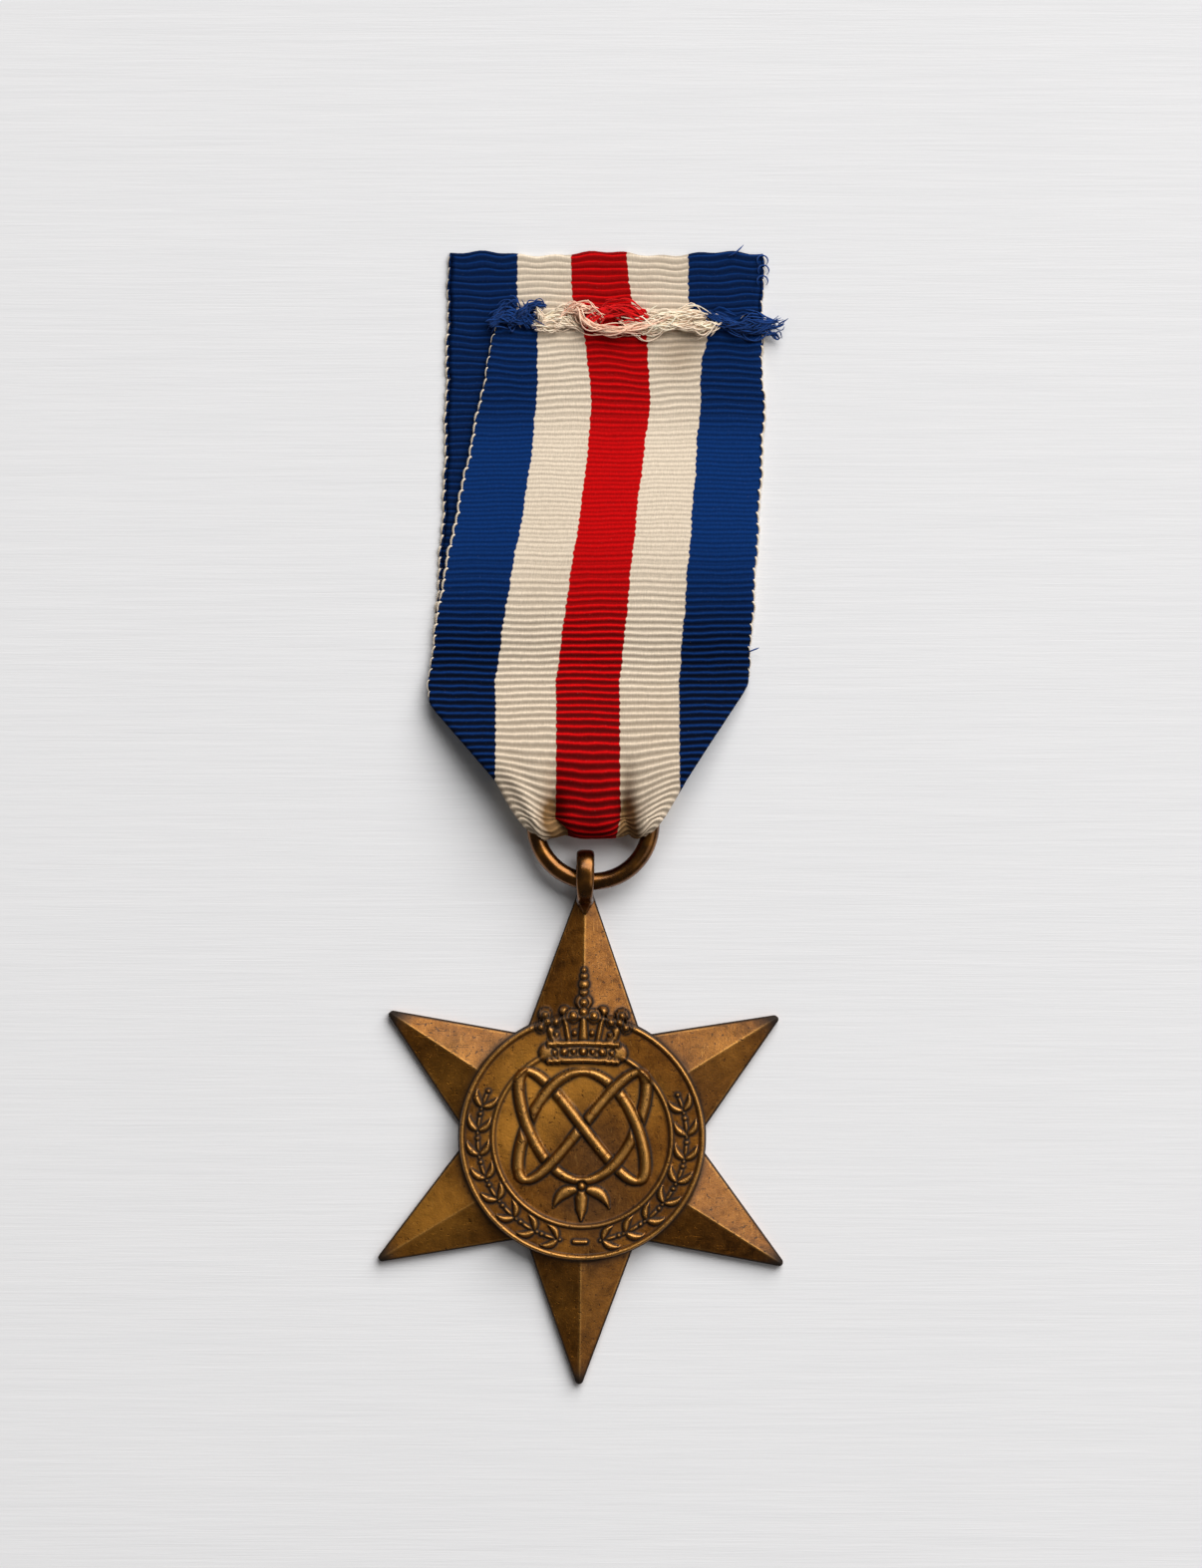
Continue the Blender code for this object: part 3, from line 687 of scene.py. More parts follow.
def add_crown(relief, y):
    """A plain open crown standing across the disc's edge: three leaves, balls on stalks, a jewelled band
    and a finial of stacked beads."""
    floor = 2.70 - 0.75 * smooth(11.8, 17.0, y)
    foot = 9.8
    stroke, bead = partial(relief.stroke, floor=floor), partial(relief.bead, floor=floor)

    def leaf(centre_x, centre_y, lean, size):
        cos, sin = math.cos(lean), math.sin(lean)
        for away, up, radius in ((-0.95, -0.35, 0.68), (0.95, -0.35, 0.68), (0, 0.85, 0.8)):
            at = centre_x + size * (away * cos + up * sin), centre_y + size * (up * cos - away * sin)
            stroke([(centre_x, centre_y), at], [0.3 * size, radius * size], 0.42)
            bead(*at, 0.34 * size, 0.60, carve=0.5)
        bead(centre_x, centre_y, 0.36 * size, 0.62, carve=0.7)

    for side in (-1, 1):
        stroke([(side * 2.8, foot), (side * 3.7, 11.7)], [0.55, 0.32], 0.42)
        leaf(side * 3.7, 11.85, side * 0.35, 0.86)
        stroke([(side * 1.45, foot), (side * 1.95, 12.5)], 0.24, 0.42)
        for away, level, radius, height in (
                (1.98, 13.0, 0.5, 0.68), (2.75, 10.6, 0.24, 0.6), (0.9, 10.75, 0.26, 0.6)):
            bead(side * away, level, radius, height)
    stroke([(0, foot), (0, 12.2)], [0.5, 0.34], 0.46)
    leaf(0, 12.9, 0, 1.12)
    for level, radius in ((14.95, 0.42), (15.75, 0.52), (16.6, 0.38), (17.2, 0.26)):
        bead(0, level, radius, 0.60)
    t = np.linspace(-1, 1, 15)
    for level, half, height, arch, carve in (
            (8.8, 1.0, 0.42, 0.12, 1.0), (7.95, 0.24, 0.66, 0.16, 0.45), (9.68, 0.26, 0.66, 0.10, 0.45)):
        stroke(np.stack([3.55 * t, level - arch * t ** 2], 1), half, height, carve=carve, blunt=0.2)
    for k in range(-3, 4):
        bead(k * 0.98, 8.82 - 0.12 * (k * 0.28) ** 2, 0.36 if k % 2 == 0 else 0.24, 0.68, carve=0.6)


# Soft round patches: golden ones are painted light on the field's upper part and on the rays, duller ones are
# painted shade on the lower field; place, spread and weight
LIT_GOLD_SPOTS = ((-4.5, 5.2, 4.2, 1.0), (-6.6, 0.5, 3.2, 0.8), (6.4, 4.0, 2.2, 0.45), (0.5, 6.6, 3.0, 0.7),
              (-15.5, -8.0, 4.6, 0.56), (-13.5, 6.0, 3.4, 0.30), (-1.6, -17.0, 4.5, 0.16),
              (14.5, 8.6, 3.0, 0.12))
SHADE_SPOTS = ((1.5, -1.5, 3.8, 0.40), (1.0, -6.8, 4.2, 0.50), (4.6, -3.6, 2.6, 0.35), (15.0, -7.0, 4.0, 0.12))


def patches(x, y, spots):
    """The strongest patch at each point: weight times exp of minus (distance over spread) squared."""
    return np.max([weight * np.exp(-((x - place_x) ** 2 + (y - place_y) ** 2) / spread ** 2)
                   for place_x, place_y, spread, weight in spots], axis=0)


def at_least(now, where, amount):
    """Brings values up to an amount wherever a mask says."""
    return np.where(where, np.maximum(now, amount), now)


def star_wear(relief, x, y, r, angle, inset):
    """Soiling and painted shade in the grooves beside the rims; painted shade round the disc's foot and on
    the outline's bevel; darker towards the tips; rubbing on the rims, with a painted highlight along the
    ridges and just inside the outline; duller patches of painted shade; and the golden patches of painted
    light, returned."""
    plain = relief.raised < 0.02
    for radius, half in RIMS:
        gap = np.abs(r - radius) - half
        beside = hump(np.maximum(gap, 0), 0, 0.16) * (gap > -0.02)
        # Soiling and painted shade in the grooves on both sides of the rim, and its top rubbed lighter with a
        # painted highlight.
        relief.grime = at_least(relief.grime, plain & (r < DISC_RADIUS + 0.02), beside * 0.9)
        relief.rub = at_least(relief.rub, plain & (gap < 0), smooth(0, -0.2, gap))
    rays = (r >= DISC_RADIUS - 0.08) & plain
    # Painted shade on the rays at the disc's foot.
    relief.grime = at_least(relief.grime, rays, 0.9 * np.exp(-np.maximum(r - DISC_RADIUS, 0) / 0.28))
    # A painted highlight just inside the outline and along the ridges.
    edge = hump(inset, 0.42, 0.1)
    ridge = hump(ridge_distance(x, y), 0, 0.13) * (r > DISC_RADIUS)
    relief.rub = at_least(relief.rub, rays, np.maximum(0.55 * edge, 0.8 * ridge))
    tip_gap = np.where(y < 20, tip_reach(angle) - r, 9.0)
    # Darker towards the tips.
    relief.grime = at_least(relief.grime, rays, 0.92 * smooth(2.9, 0.5, tip_gap))
    # Painted shade on the outline's bevel, where the painted highlight fades out.
    relief.grime = at_least(relief.grime, rays, smooth(0.36, 0.14, inset))
    relief.rub = np.where(rays & (inset < 0.3), relief.rub * smooth(0.16, 0.3, inset), relief.rub)
    # Golden patches of painted light on the field's upper part and on the rays.
    gold = patches(x, y, LIT_GOLD_SPOTS) * plain
    # Duller patches: painted shade on the lower field and the lower right ray.
    relief.grime = np.maximum(relief.grime, patches(x, y, SHADE_SPOTS) * plain * (1 - gold))
    return gold


def star_heights(x, y, stroke_height):
    """Height, soiling with painted shade, rubbing with a painted highlight, and golden patches of painted
    light over the whole face.

    The rays are flat facets falling from one apex to the outline: apex - (apex - edge) r / outline radius.
    The disc is a shallow dome inside two rounded rims, with a steep side down to the rays."""
    r, angle = np.hypot(x, y), np.arctan2(y, x)
    sharp, worn = star_radii(angle)
    ray = STAR_EDGE + (STAR_APEX - STAR_EDGE) * np.clip(1 - r / sharp, 0, 1)
    inset = worn - r
    ray = ray - EDGE_DROP * (1 - smooth(0, EDGE_ROUND, inset)) ** 2
    field = FIELD_Z + FIELD_DOME * (1 - (r / FIELD_RADIUS) ** 2)
    disc = np.where(r < FIELD_RADIUS, field, BORDER_Z)
    disc = disc + (BORDER_Z - disc) * smooth(FIELD_RADIUS - 0.3, FIELD_RADIUS + 0.05, r)
    for radius, half in RIMS:
        disc = disc + RIM_HEIGHT * np.sqrt(np.clip(1 - ((r - radius) / half) ** 2, 0, 1))
    on_disc = smooth(DISC_RADIUS + 0.01, DISC_RADIUS - 0.07, r)
    base = ray + (disc - ray) * on_disc

    relief = Relief(x, y, base)
    add_border(relief)
    add_knot(relief, stroke_height)
    add_sprig(relief)
    before = relief.raised.copy()
    add_crown(relief, y)
    sunk = (relief.raised != before) & (relief.raised < 0)
    relief.raised[sunk] = 0
    gold = star_wear(relief, x, y, r, angle, inset)
    return base + relief.raised, relief.grime, relief.rub, gold


def tip_reach(angle):
    """How far out the nearest tip is, so that its last part can be found."""
    reach = [math.hypot(*CORNERS[k]) - 0.7 for k in (0, 2, 4, 6)]
    return np.array(reach)[np.searchsorted(CORNER_ANGLES[1::2], right_side(angle))]


def ridge_distance(x, y):
    """How far a point is from the nearest ridge: the lines from the centre to the tips."""
    nearest = np.full(len(x), 99.0)
    for tip_x, tip_y in [(side * tx, ty) for tx, ty in TIPS for side in (-1, 1)]:
        reach = math.hypot(tip_x, tip_y)
        ahead = (x * tip_x + y * tip_y) > 0
        off = np.abs(x * tip_y - y * tip_x) / reach
        nearest = np.where(ahead, np.minimum(nearest, off), nearest)
    return nearest


def star_points(stroke_height):
    """The star's whole skin: a square grid wrapped to the disc, rings out to the outline, its side and back.

    The square is wrapped so that squares round its middle become circles (the concentric map), and the
    crown's part of the outer circle is drawn out over the top ray."""
    n = FINE_CELLS
    line = np.linspace(-1, 1, n + 1)
    a, b = np.meshgrid(line, line)
    wide = np.abs(a) > np.abs(b)
    with np.errstate(divide="ignore", invalid="ignore"):
        turn = np.where(wide, np.pi / 4 * b / a, np.pi / 2 - np.pi / 4 * a / b)
    reach = np.where(wide, a, b)
    turn = np.where(reach == 0, 0, np.nan_to_num(turn)) + np.where(reach < 0, np.pi, 0)
    angle = spread_angles(turn)

    def fine_edge(theta):
        from_top = np.abs((theta - np.pi / 2 + np.pi) % (2 * np.pi) - np.pi)
        bulge = smooth(math.radians(27), math.radians(12), from_top)
        outline = star_radii(theta.ravel())[1].reshape(theta.shape)
        drawn = np.minimum(DISC_RADIUS - 0.06 + 5.35 * bulge, outline - 0.3)
        return np.maximum(drawn, DISC_RADIUS - 0.06)

    r = np.abs(reach) * fine_edge(angle)
    x, y = (r * np.cos(angle)).ravel(), (r * np.sin(angle)).ravel()
    points = [np.stack([x, y], 1)]
    faces = [grid_faces(n + 1, n + 1)]

    grid = np.arange((n + 1) ** 2).reshape(n + 1, n + 1)
    rim = np.concatenate([grid[:-1, -1], grid[-1, :0:-1], grid[:0:-1, 0], grid[0, :-1]])
    theta = np.arctan2(y[rim], x[rim])
    start = np.hypot(x[rim], y[rim])
    _, worn = star_radii(theta)
    around = len(rim)
    first = np.maximum(start + 0.05, DISC_RADIUS + 0.015)
    rings = []
    for share in RAY_SHARES:
        rings.append(first + (np.maximum(worn - 0.25, first + 0.01) - first) * share)
    for inset in EDGE_INSETS:
        rings.append(np.maximum(worn - inset, first + 0.012 + 0.02 * (0.25 - inset)))
    for ring in rings:
        points.append(np.stack([ring * np.cos(theta), ring * np.sin(theta)], 1))
    flat = np.concatenate(points)
    z, *marks = star_heights(flat[:, 0], flat[:, 1], stroke_height)
    under = []
    for inset, level in SIDE_RINGS:
        ring = np.maximum(rings[-1] - inset, 1.0)
        under.append(np.stack([ring * np.cos(theta), ring * np.sin(theta), np.full(around, level)], 1))
    for radius in BACK_RADII:
        under.append(np.stack([radius * np.cos(theta), radius * np.sin(theta), np.zeros(around)], 1))
    skin = np.concatenate([np.column_stack([flat, z]), *under, [[0, 0, 0]]])
    count = len(rings) + len(under)
    loops = np.concatenate([rim[None], len(x) + np.arange(count * around).reshape(count, around)])
    ahead = np.roll(loops, -1, axis=1)
    faces.append(np.stack([loops[:-1], ahead[:-1], ahead[1:], loops[1:]], -1).reshape(-1, 4)[:, ::-1])
    last = len(skin) - 1
    faces.append(np.stack([loops[-1], ahead[-1], np.full(around, last)], 1)[:, ::-1])
    blank = np.zeros(len(skin) - len(z))
    return skin, faces, [np.concatenate([mark, blank]) for mark in marks]


def to_world(points):
    """Turns and moves points from the star's own frame to the medal's."""
    cos, sin = math.cos(STAR_LEAN), math.sin(STAR_LEAN)
    turned = points @ np.array([[cos, sin, 0], [-sin, cos, 0], [0, 0, 1]])
    return turned + np.array([*STAR_CENTRE, 0])


# ---------------------------------------------------------------- ring and eyelet

def ring_surface():
    """The ring: a round section carried round a circle, its two butted ends almost meeting."""
    low, high = (np.array(corner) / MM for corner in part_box("suspension_ring"))
    wire = (high[2] - low[2]) / 2
    radius = (high[0] - low[0]) / 2 - wire
    gap = 0.06 / radius
    angle = np.linspace(math.radians(112) + gap, math.radians(472) - gap, 181)
    out = np.stack([np.cos(angle), np.sin(angle), 0 * angle], 1)
    centre = np.array([*RING_CENTRE[:2], (low[2] + high[2]) / 2]) + radius * out
    up = np.broadcast_to([0.0, 0.0, 1.0], out.shape)
    return carried(centre, out, up, rounded_section(wire, wire, 2.0, 28), closed=False)


def eyelet_surface():
    """The eyelet: a rounded strap section carried round an oval of two half-circles and two straights."""
    radius, straight, wall, width = 1.25 + 0.56, 0.85, 0.56, 0.93
    half = np.linspace(-np.pi / 2, np.pi / 2, 25)
    sides = np.linspace(0, straight, 6)[1:-1]
    along = np.concatenate([straight + radius * np.cos(half), sides[::-1], -radius * np.cos(half), sides])
    level = np.concatenate([radius * np.sin(half), np.full(4, radius),
                            -radius * np.sin(half), np.full(4, -radius)])
    out_y = np.concatenate([np.cos(half), np.zeros(4), -np.cos(half), np.zeros(4)])
    out_z = np.concatenate([np.sin(half), np.ones(4), -np.sin(half), -np.ones(4)])
    centre = np.stack([0 * along, EYELET_Y + along, RING_CENTRE[2] + level], 1)
    out = np.stack([0 * out_y, out_y, out_z], 1)
    up = np.broadcast_to([1.0, 0.0, 0.0], out.shape)
    narrow = 1 - 0.12 * smooth(EYELET_Y + 0.4, EYELET_Y - 1.6, centre[:, 1])
    section = rounded_section(wall, width, 3.2, 28)
    return carried(centre, out, up * narrow[:, None], section, closed=True)


def foot_surface():
    """The brazed foot: rounded sections lofted from inside the loop down the ridge of the top ray."""
    y = np.array([25.2, 24.8, 24.4, 24.1, 23.8, 23.5, 23.2, 22.9])
    half = np.array([0.60, 0.86, 0.92, 0.86, 0.72, 0.54, 0.36, 0.20])
    top = np.array([3.3, 3.3, 2.95, 2.50, 2.12, 1.84, 1.66, 1.52])
    centre = np.stack([0 * y, y, 0.06 + top / 2], 1)
    side = np.stack([half, 0 * y, 0 * y], 1)
    up = np.stack([0 * y, 0 * y, top / 2], 1)
    return carried(centre, side, up, rounded_section(1.0, 1.0, 2.6, 24), closed=False)


# ---------------------------------------------------------------- ribbon

RIBBON_WIDTH = 32.3
STRIPE_EDGES = [RIBBON_WIDTH * share for share in (0.205, 0.397, 0.598, 0.787)]

# The cloth's edges and the mitre's folds: height up the medal, then x
FRONT_LEFT = [(53.0, -8.2), (43.0, -10.2), (33.0, -12.3), (23.0, -14.3), (14.6, -15.5), (12.1, -15.4)]
FRONT_RIGHT = [(53.0, 18.2), (42.0, 18.8), (33.0, 18.3), (23.0, 17.7), (14.1, 17.1)]
BACK_LEFT = [(58.4, -13.4), (33.0, -13.9), (14.6, -15.2), (12.1, -15.4)]
BACK_RIGHT = [(58.4, 18.7), (33.0, 18.3), (14.1, 17.1)]
MITRE_LEFT = [(-1.85, -3.0), (-1.6, -4.1), (-1.1, -4.95), (-0.3, -5.75), (1.2, -6.75),
              (3.7, -8.05), (12.1, -15.4)]
MITRE_RIGHT = [(-1.85, 5.3), (-1.6, 6.4), (-1.0, 7.3), (0.5, 8.35), (2.2, 9.35),
               (3.9, 10.35), (14.1, 17.1)]

# Left and right: where the mitre starts, and its fold's lean in degrees
MITRE_START = (12.1, 14.1)
MITRE_LEAN = (41.5, 33.4)

# Each furrow's x, and how far it moves in the turn
FURROWS = ((-2.75, 1.15), (4.5, 0.25))

# A row whose turn is past this is on the back
PAST_RING = 1.6
PANEL_COLUMNS = 55
TURN_Y = 0.2
NECK_TOP_Z = 4.5

# Height up the medal, then where the four stripe edges lie across the cloth's width
FRONT_STRIPES = ((51.0, 0.155, 0.325, 0.570, 0.812), (49.5, 0.164, 0.342, 0.576, 0.803),
                 (47.4, 0.176, 0.360, 0.586, 0.786), (45.2, 0.186, 0.377, 0.594, 0.780),
                 (43.0, 0.194, 0.389, 0.599, 0.778), (41.0, 0.201, 0.396, 0.600, 0.777),
                 (38.9, 0.207, 0.400, 0.597, 0.777), (33.0, 0.216, 0.407, 0.596, 0.781),
                 (19.5, 0.210, 0.402, 0.602, 0.786), (13.0, 0.205, 0.397, 0.598, 0.787))
BACK_STRIPES = ((57.5, 0.215, 0.386, 0.564, 0.762), (54.0, 0.219, 0.394, 0.583, 0.766),
                (48.0, 0.210, 0.397, 0.598, 0.785))


def stripe_places(y, turn):
    """Where the cloth's edges and stripe edges lie in each row, as shares of its width."""
    rising = [np.array(sorted(table)) for table in (FRONT_STRIPES, BACK_STRIPES)]
    on_back = (turn > PAST_RING)[:, None]
    front, back = [np.stack([np.interp(y, table[:, 0], table[:, k]) for k in range(1, 5)], 1)
                   for table in rising]
    inner = np.where(on_back, back, front)
    return np.concatenate([np.zeros((len(y), 1)), inner, np.ones((len(y), 1))], 1)


def front_level(y):
    """The front layer's height: low on the back layer, rising over the ring."""
    return 0.8 + (NECK_TOP_Z - 0.8) * smooth(17.0, 4.5, y)


def back_level(y):
    """The back layer's height: flat on the table, lifting a little into the turn."""
    return 0.25 + 0.25 * smooth(5.0, 0.0, y)


def ribbon_rows(step):
    """Each row's height up the medal and its turn: 0 on the front, pi on the back, between them round
    the ring."""
    bend = (front_level(TURN_Y) - back_level(TURN_Y)) / 2
    front = np.arange(FRONT_END + 1.0, TURN_Y, -step)
    arc = np.arange(0, np.pi * bend, step) / bend
    back = np.arange(TURN_Y, BACK_TOP, step)
    y = np.concatenate([front, TURN_Y - bend * np.sin(arc), back])
    turn = np.concatenate([0 * front, arc, 0 * back + np.pi])
    return y, turn


def coarse_weave(y, turn):
    """How deep the ribs are: deep at both ends of the front leaf and all along the back one."""
    front = np.maximum(0.6 * smooth(38, 44, y), smooth(31, 17, y))
    return np.where(turn > PAST_RING, 0.70, 0.10 + 0.90 * front)


def edge_wave(y, side):
    """How a woven edge wavers along the strip: two small sine waves."""
    return 0.07 * np.sin(y * 0.9 + side) + 0.05 * np.sin(y * 2.3 + 2 * side)


def ribbon_sides(y, turn):
    """The cloth's edge and the fold in each row, for the left side, -1, and the right side, 1.

    Above the mitre the fold is the edge itself. In the turn the front's edge fades into the back's."""
    back = 0.5 - 0.5 * np.cos(turn)
    sides = {}
    for side, front_knots, back_knots, mitre in (
            (-1, FRONT_LEFT, BACK_LEFT, MITRE_LEFT), (1, FRONT_RIGHT, BACK_RIGHT, MITRE_RIGHT)):
        start = MITRE_START[side > 0]
        edge = knots(front_knots, y) * (1 - back) + knots(back_knots, y) * back
        edge = edge + edge_wave(y, side) * smooth(start, start + 3, y)
        fold = np.where(y < start, knots(mitre, y), edge)
        sides[side] = edge, np.minimum(fold, edge) if side > 0 else np.maximum(fold, edge)
    return sides


def rolled_side(side, edge, fold, y, fold_across):
    """The columns beyond a fold: five roll over a small half-circle and three run back behind the panel,
    mirrored in the fold's line and gathered together near the neck."""
    start = MITRE_START[side > 0]
    folded = smooth(start + 0.6, start - 1.4, y)
    roll = 0.07 + 0.17 * folded + 0.09 * smooth(8.0, 1.0, y)
    lean = math.radians(MITRE_LEAN[side > 0]) * smooth(start + 0.2, start - 0.4, y)
    curl = np.pi * roll / np.cos(lean)
    spare = np.abs(edge - fold) + 0.03
    reach = np.concatenate([curl * np.array([[0.2], [0.4], [0.6], [0.8], [1.0]]),
                            curl + spare * np.array([[0.1], [0.45], [1.0]])])
    gather = 1 - 0.8 * smooth(4.0, 0.5, y)
    square, beside = reach * np.cos(lean), reach * np.sin(lean)
    bent = np.minimum(square / roll, np.pi)
    out = roll * np.sin(bent) - np.maximum(square - np.pi * roll, 0) * gather
    x = fold + side * (out * np.cos(lean) + beside * gather * np.sin(lean))
    rise = -out * np.sin(lean) + beside * gather * np.cos(lean)
    block = x, np.broadcast_to(y + rise, x.shape), roll * (1 - np.cos(bent)), fold_across + side * reach
    return [b[::-1] if side < 0 else b for b in block]


def flat_strip(y, turn):
    """The folded strip before it goes round the ring: x, height up the medal, depth below the surface and
    place across the cloth, each as rows by columns; then the left and the right fold."""
    sides = ribbon_sides(y, turn)
    (start, left), (end, right) = sides[-1], sides[1]
    width = end - start
    rolled = [rolled_side(side, *sides[side], y, (sides[side][1] - start) / width * RIBBON_WIDTH)
              for side in (-1, 1)]
    x = left + (right - left) * np.linspace(0, 1, PANEL_COLUMNS)[:, None]
    share = (x - start) / width
    places = stripe_places(y, turn).T
    nominal = [0, *STRIPE_EDGES, RIBBON_WIDTH]
    across = sum((nominal[k + 1] - nominal[k])
                 * np.clip((share - places[k]) / (places[k + 1] - places[k]), 0, 1) for k in range(5))
    panel = [x, np.broadcast_to(y, x.shape), 0 * x, across]
    strip = [np.concatenate(parts).T for parts in zip(rolled[0], panel, rolled[1])]
    return strip, left[:, None], right[:, None]


def furrows(x, bend, spread, aside=0.0):
    """Humps along the two furrows beside the ring, which draw together as the strip turns."""
    drawn = smooth(0.1, 1.3, bend)
    return sum(hump(x - at - draw * drawn, np.sign(at) * aside, spread) for at, draw in FURROWS)


def neck_folds(inward, x, y, bend, left, right):
    """Sinks the two furrows and swells the cloth between them and the puffs on their outer sides."""
    ahead = np.where(bend < np.pi / 2, np.cos(bend), 0)
    below_ring, low = smooth(3.7, 0.6, y), smooth(9.0, 2.0, y)
    sunk = 0.40 * low * (0.5 + 0.5 * ahead) + below_ring * (0.12 + 1.15 * ahead)
    inward = inward + furrows(x, bend, 0.85) * sunk
    inward = inward - 0.30 * hump(x, 1.0, 2.3, 4) * low * ahead
    for fold, (at, _) in zip((left, right), FURROWS):
        share = np.clip((x - fold) / (at - fold), 0, 1)
        inward = inward - 0.55 * np.sin(np.pi * share) * low * ahead
        inward = inward + 0.16 * np.sin(3.2 * np.pi * share + 0.5 * y) * np.sin(np.pi * share) * low
    return inward


def ribbon_stain_and_shade(x, y, bend, front, under):
    """Two soiled places near the raw end; a painted shadow just below the frayed threads; painted shade,
    brown, in the furrows; darker towards the neck and in the neck's middle; and painted shade in the turn
    under the neck.
    """
    stain = np.exp(-((y - 48.0) / 2.4) ** 2 - ((x - 10.0) / 2.6) ** 2) * front * 0.34
    # A painted shadow: a band darker just below the frayed threads.
    stain = stain + 0.18 * hump(y, 50.5, 1.2) * front
    # Painted shade, brown, in the furrows beside the ring.
    shaded = np.minimum(furrows(x, bend, 1.0, aside=0.35), 1)
    stain = stain + shaded * (0.36 * smooth(7.5, 3.0, y) + 0.9 * smooth(3.2, 0.2, y))
    # Darker towards the neck and in its middle, and painted shade in the turn.
    middle = hump(x, 1.0, 2.9, 6) * smooth(6.0, 0.0, y)
    return stain + (0.17 * smooth(18.0, 8.0, y) + 0.22 * middle) * (bend < PAST_RING) + 0.35 * under


def ribbon_surface(pitch, depth):
    """The whole strip as one grid of rows along it and columns across it, with its weave's coordinates, the
    depth of its ribs, and its stains mixed with painted shade.

    Between its two folds a row runs straight across, and beyond a fold it rolls over and runs back behind
    the panel. In the turn, the rows go round a half-circle through the ring; the middle of the neck is
    pulled further round than its sides. Ribs and furrows move points along the normal."""
    y, turn = ribbon_rows(pitch / 4)
    along = np.arange(len(y)) * pitch / 4
    run = along[:, None]
    (x, flat_y, inward, across), left, right = flat_strip(y, turn)

    held = smooth(left, -2.4, x) * smooth(right, 4.4, x)
    place = run + 2.3 * smooth(10.5, 1.0, y)[:, None] * (held + 0.12 * hump(x, 1.1, 2.0))
    rise = flat_y - y[:, None]
    bend = np.interp(place, along, turn)
    flat_y = np.interp(place, along, y) + rise
    front = bend < 0.01
    under = smooth(0.1, 1.3, bend) * smooth(3.1, 1.9, bend)
    across = across - under * (1.5 * hump(x, -2.0, 1.7) - 0.5 * hump(x, 4.3, 1.2))
    inward = neck_folds(inward, x, flat_y, bend, left, right)

    coarse = coarse_weave(flat_y, bend)
    wobble = 0.07 * np.sin(0.40 * x + 0.21 * run) + 0.03 * np.sin(1.1 * x - 0.47 * run + 1)
    loose = 0.12 * np.sin(0.55 * x + 1.0) + 0.05 * np.sin(1.5 * x + flat_y)
    weave_v = run + (wobble + loose * smooth(39, 46, flat_y))
    inward = inward - depth * coarse * np.cos(2 * np.pi * weave_v / pitch)
    sway = 0.10 * np.sin(0.21 * flat_y + 0.15 * x) * smooth(18, 26, flat_y) * front
    ragged = (0.35 * np.sin(0.9 * x + 1.0) + 0.25 * np.sin(2.3 * x)) * smooth(3.0, 0.0, run)
    top_wave = (0.22 * np.sin(0.5 * x + 0.4) + 0.10 * np.sin(1.7 * x)) * smooth(4.0, 0.0, along[-1] - run)
    flat_y = flat_y + ragged + top_wave

    level = np.maximum(flat_y, TURN_Y)
    above, below = front_level(level), back_level(level)
    z = (above + below) / 2 + ((above - below) / 2 - inward) * np.cos(bend) + sway
    points = np.stack([x, flat_y + inward * np.sin(bend), z], -1)
    stain = ribbon_stain_and_shade(x, flat_y, bend, front, under)
    return points, np.stack([across, weave_v], -1), np.broadcast_to(coarse, x.shape), stain


def selvedge_lines(pitch=1.15):
    """Edge threads: each runs along an edge, swinging over it and under it once every pitch."""
    lines = []
    for edge_knots, side, top, bottom, level in (
            (FRONT_LEFT, -1, 51.0, 12.6, front_level), (FRONT_RIGHT, 1, 49.5, 14.4, front_level),
            (BACK_LEFT, -1, 58.2, 14.0, back_level), (BACK_RIGHT, 1, 58.2, 15.0, back_level)):
        y = np.linspace(top, bottom, 330)
        swing = 2 * np.pi * y / pitch
        x = knots(edge_knots, y) + edge_wave(y, side) + side * (0.13 + 0.10 * np.cos(swing))
        lines.append(np.stack([x, y + 0.18 * np.sin(swing), level(y) + 0.055 + 0.15 * np.sin(swing)], 1))
    return np.array(lines)


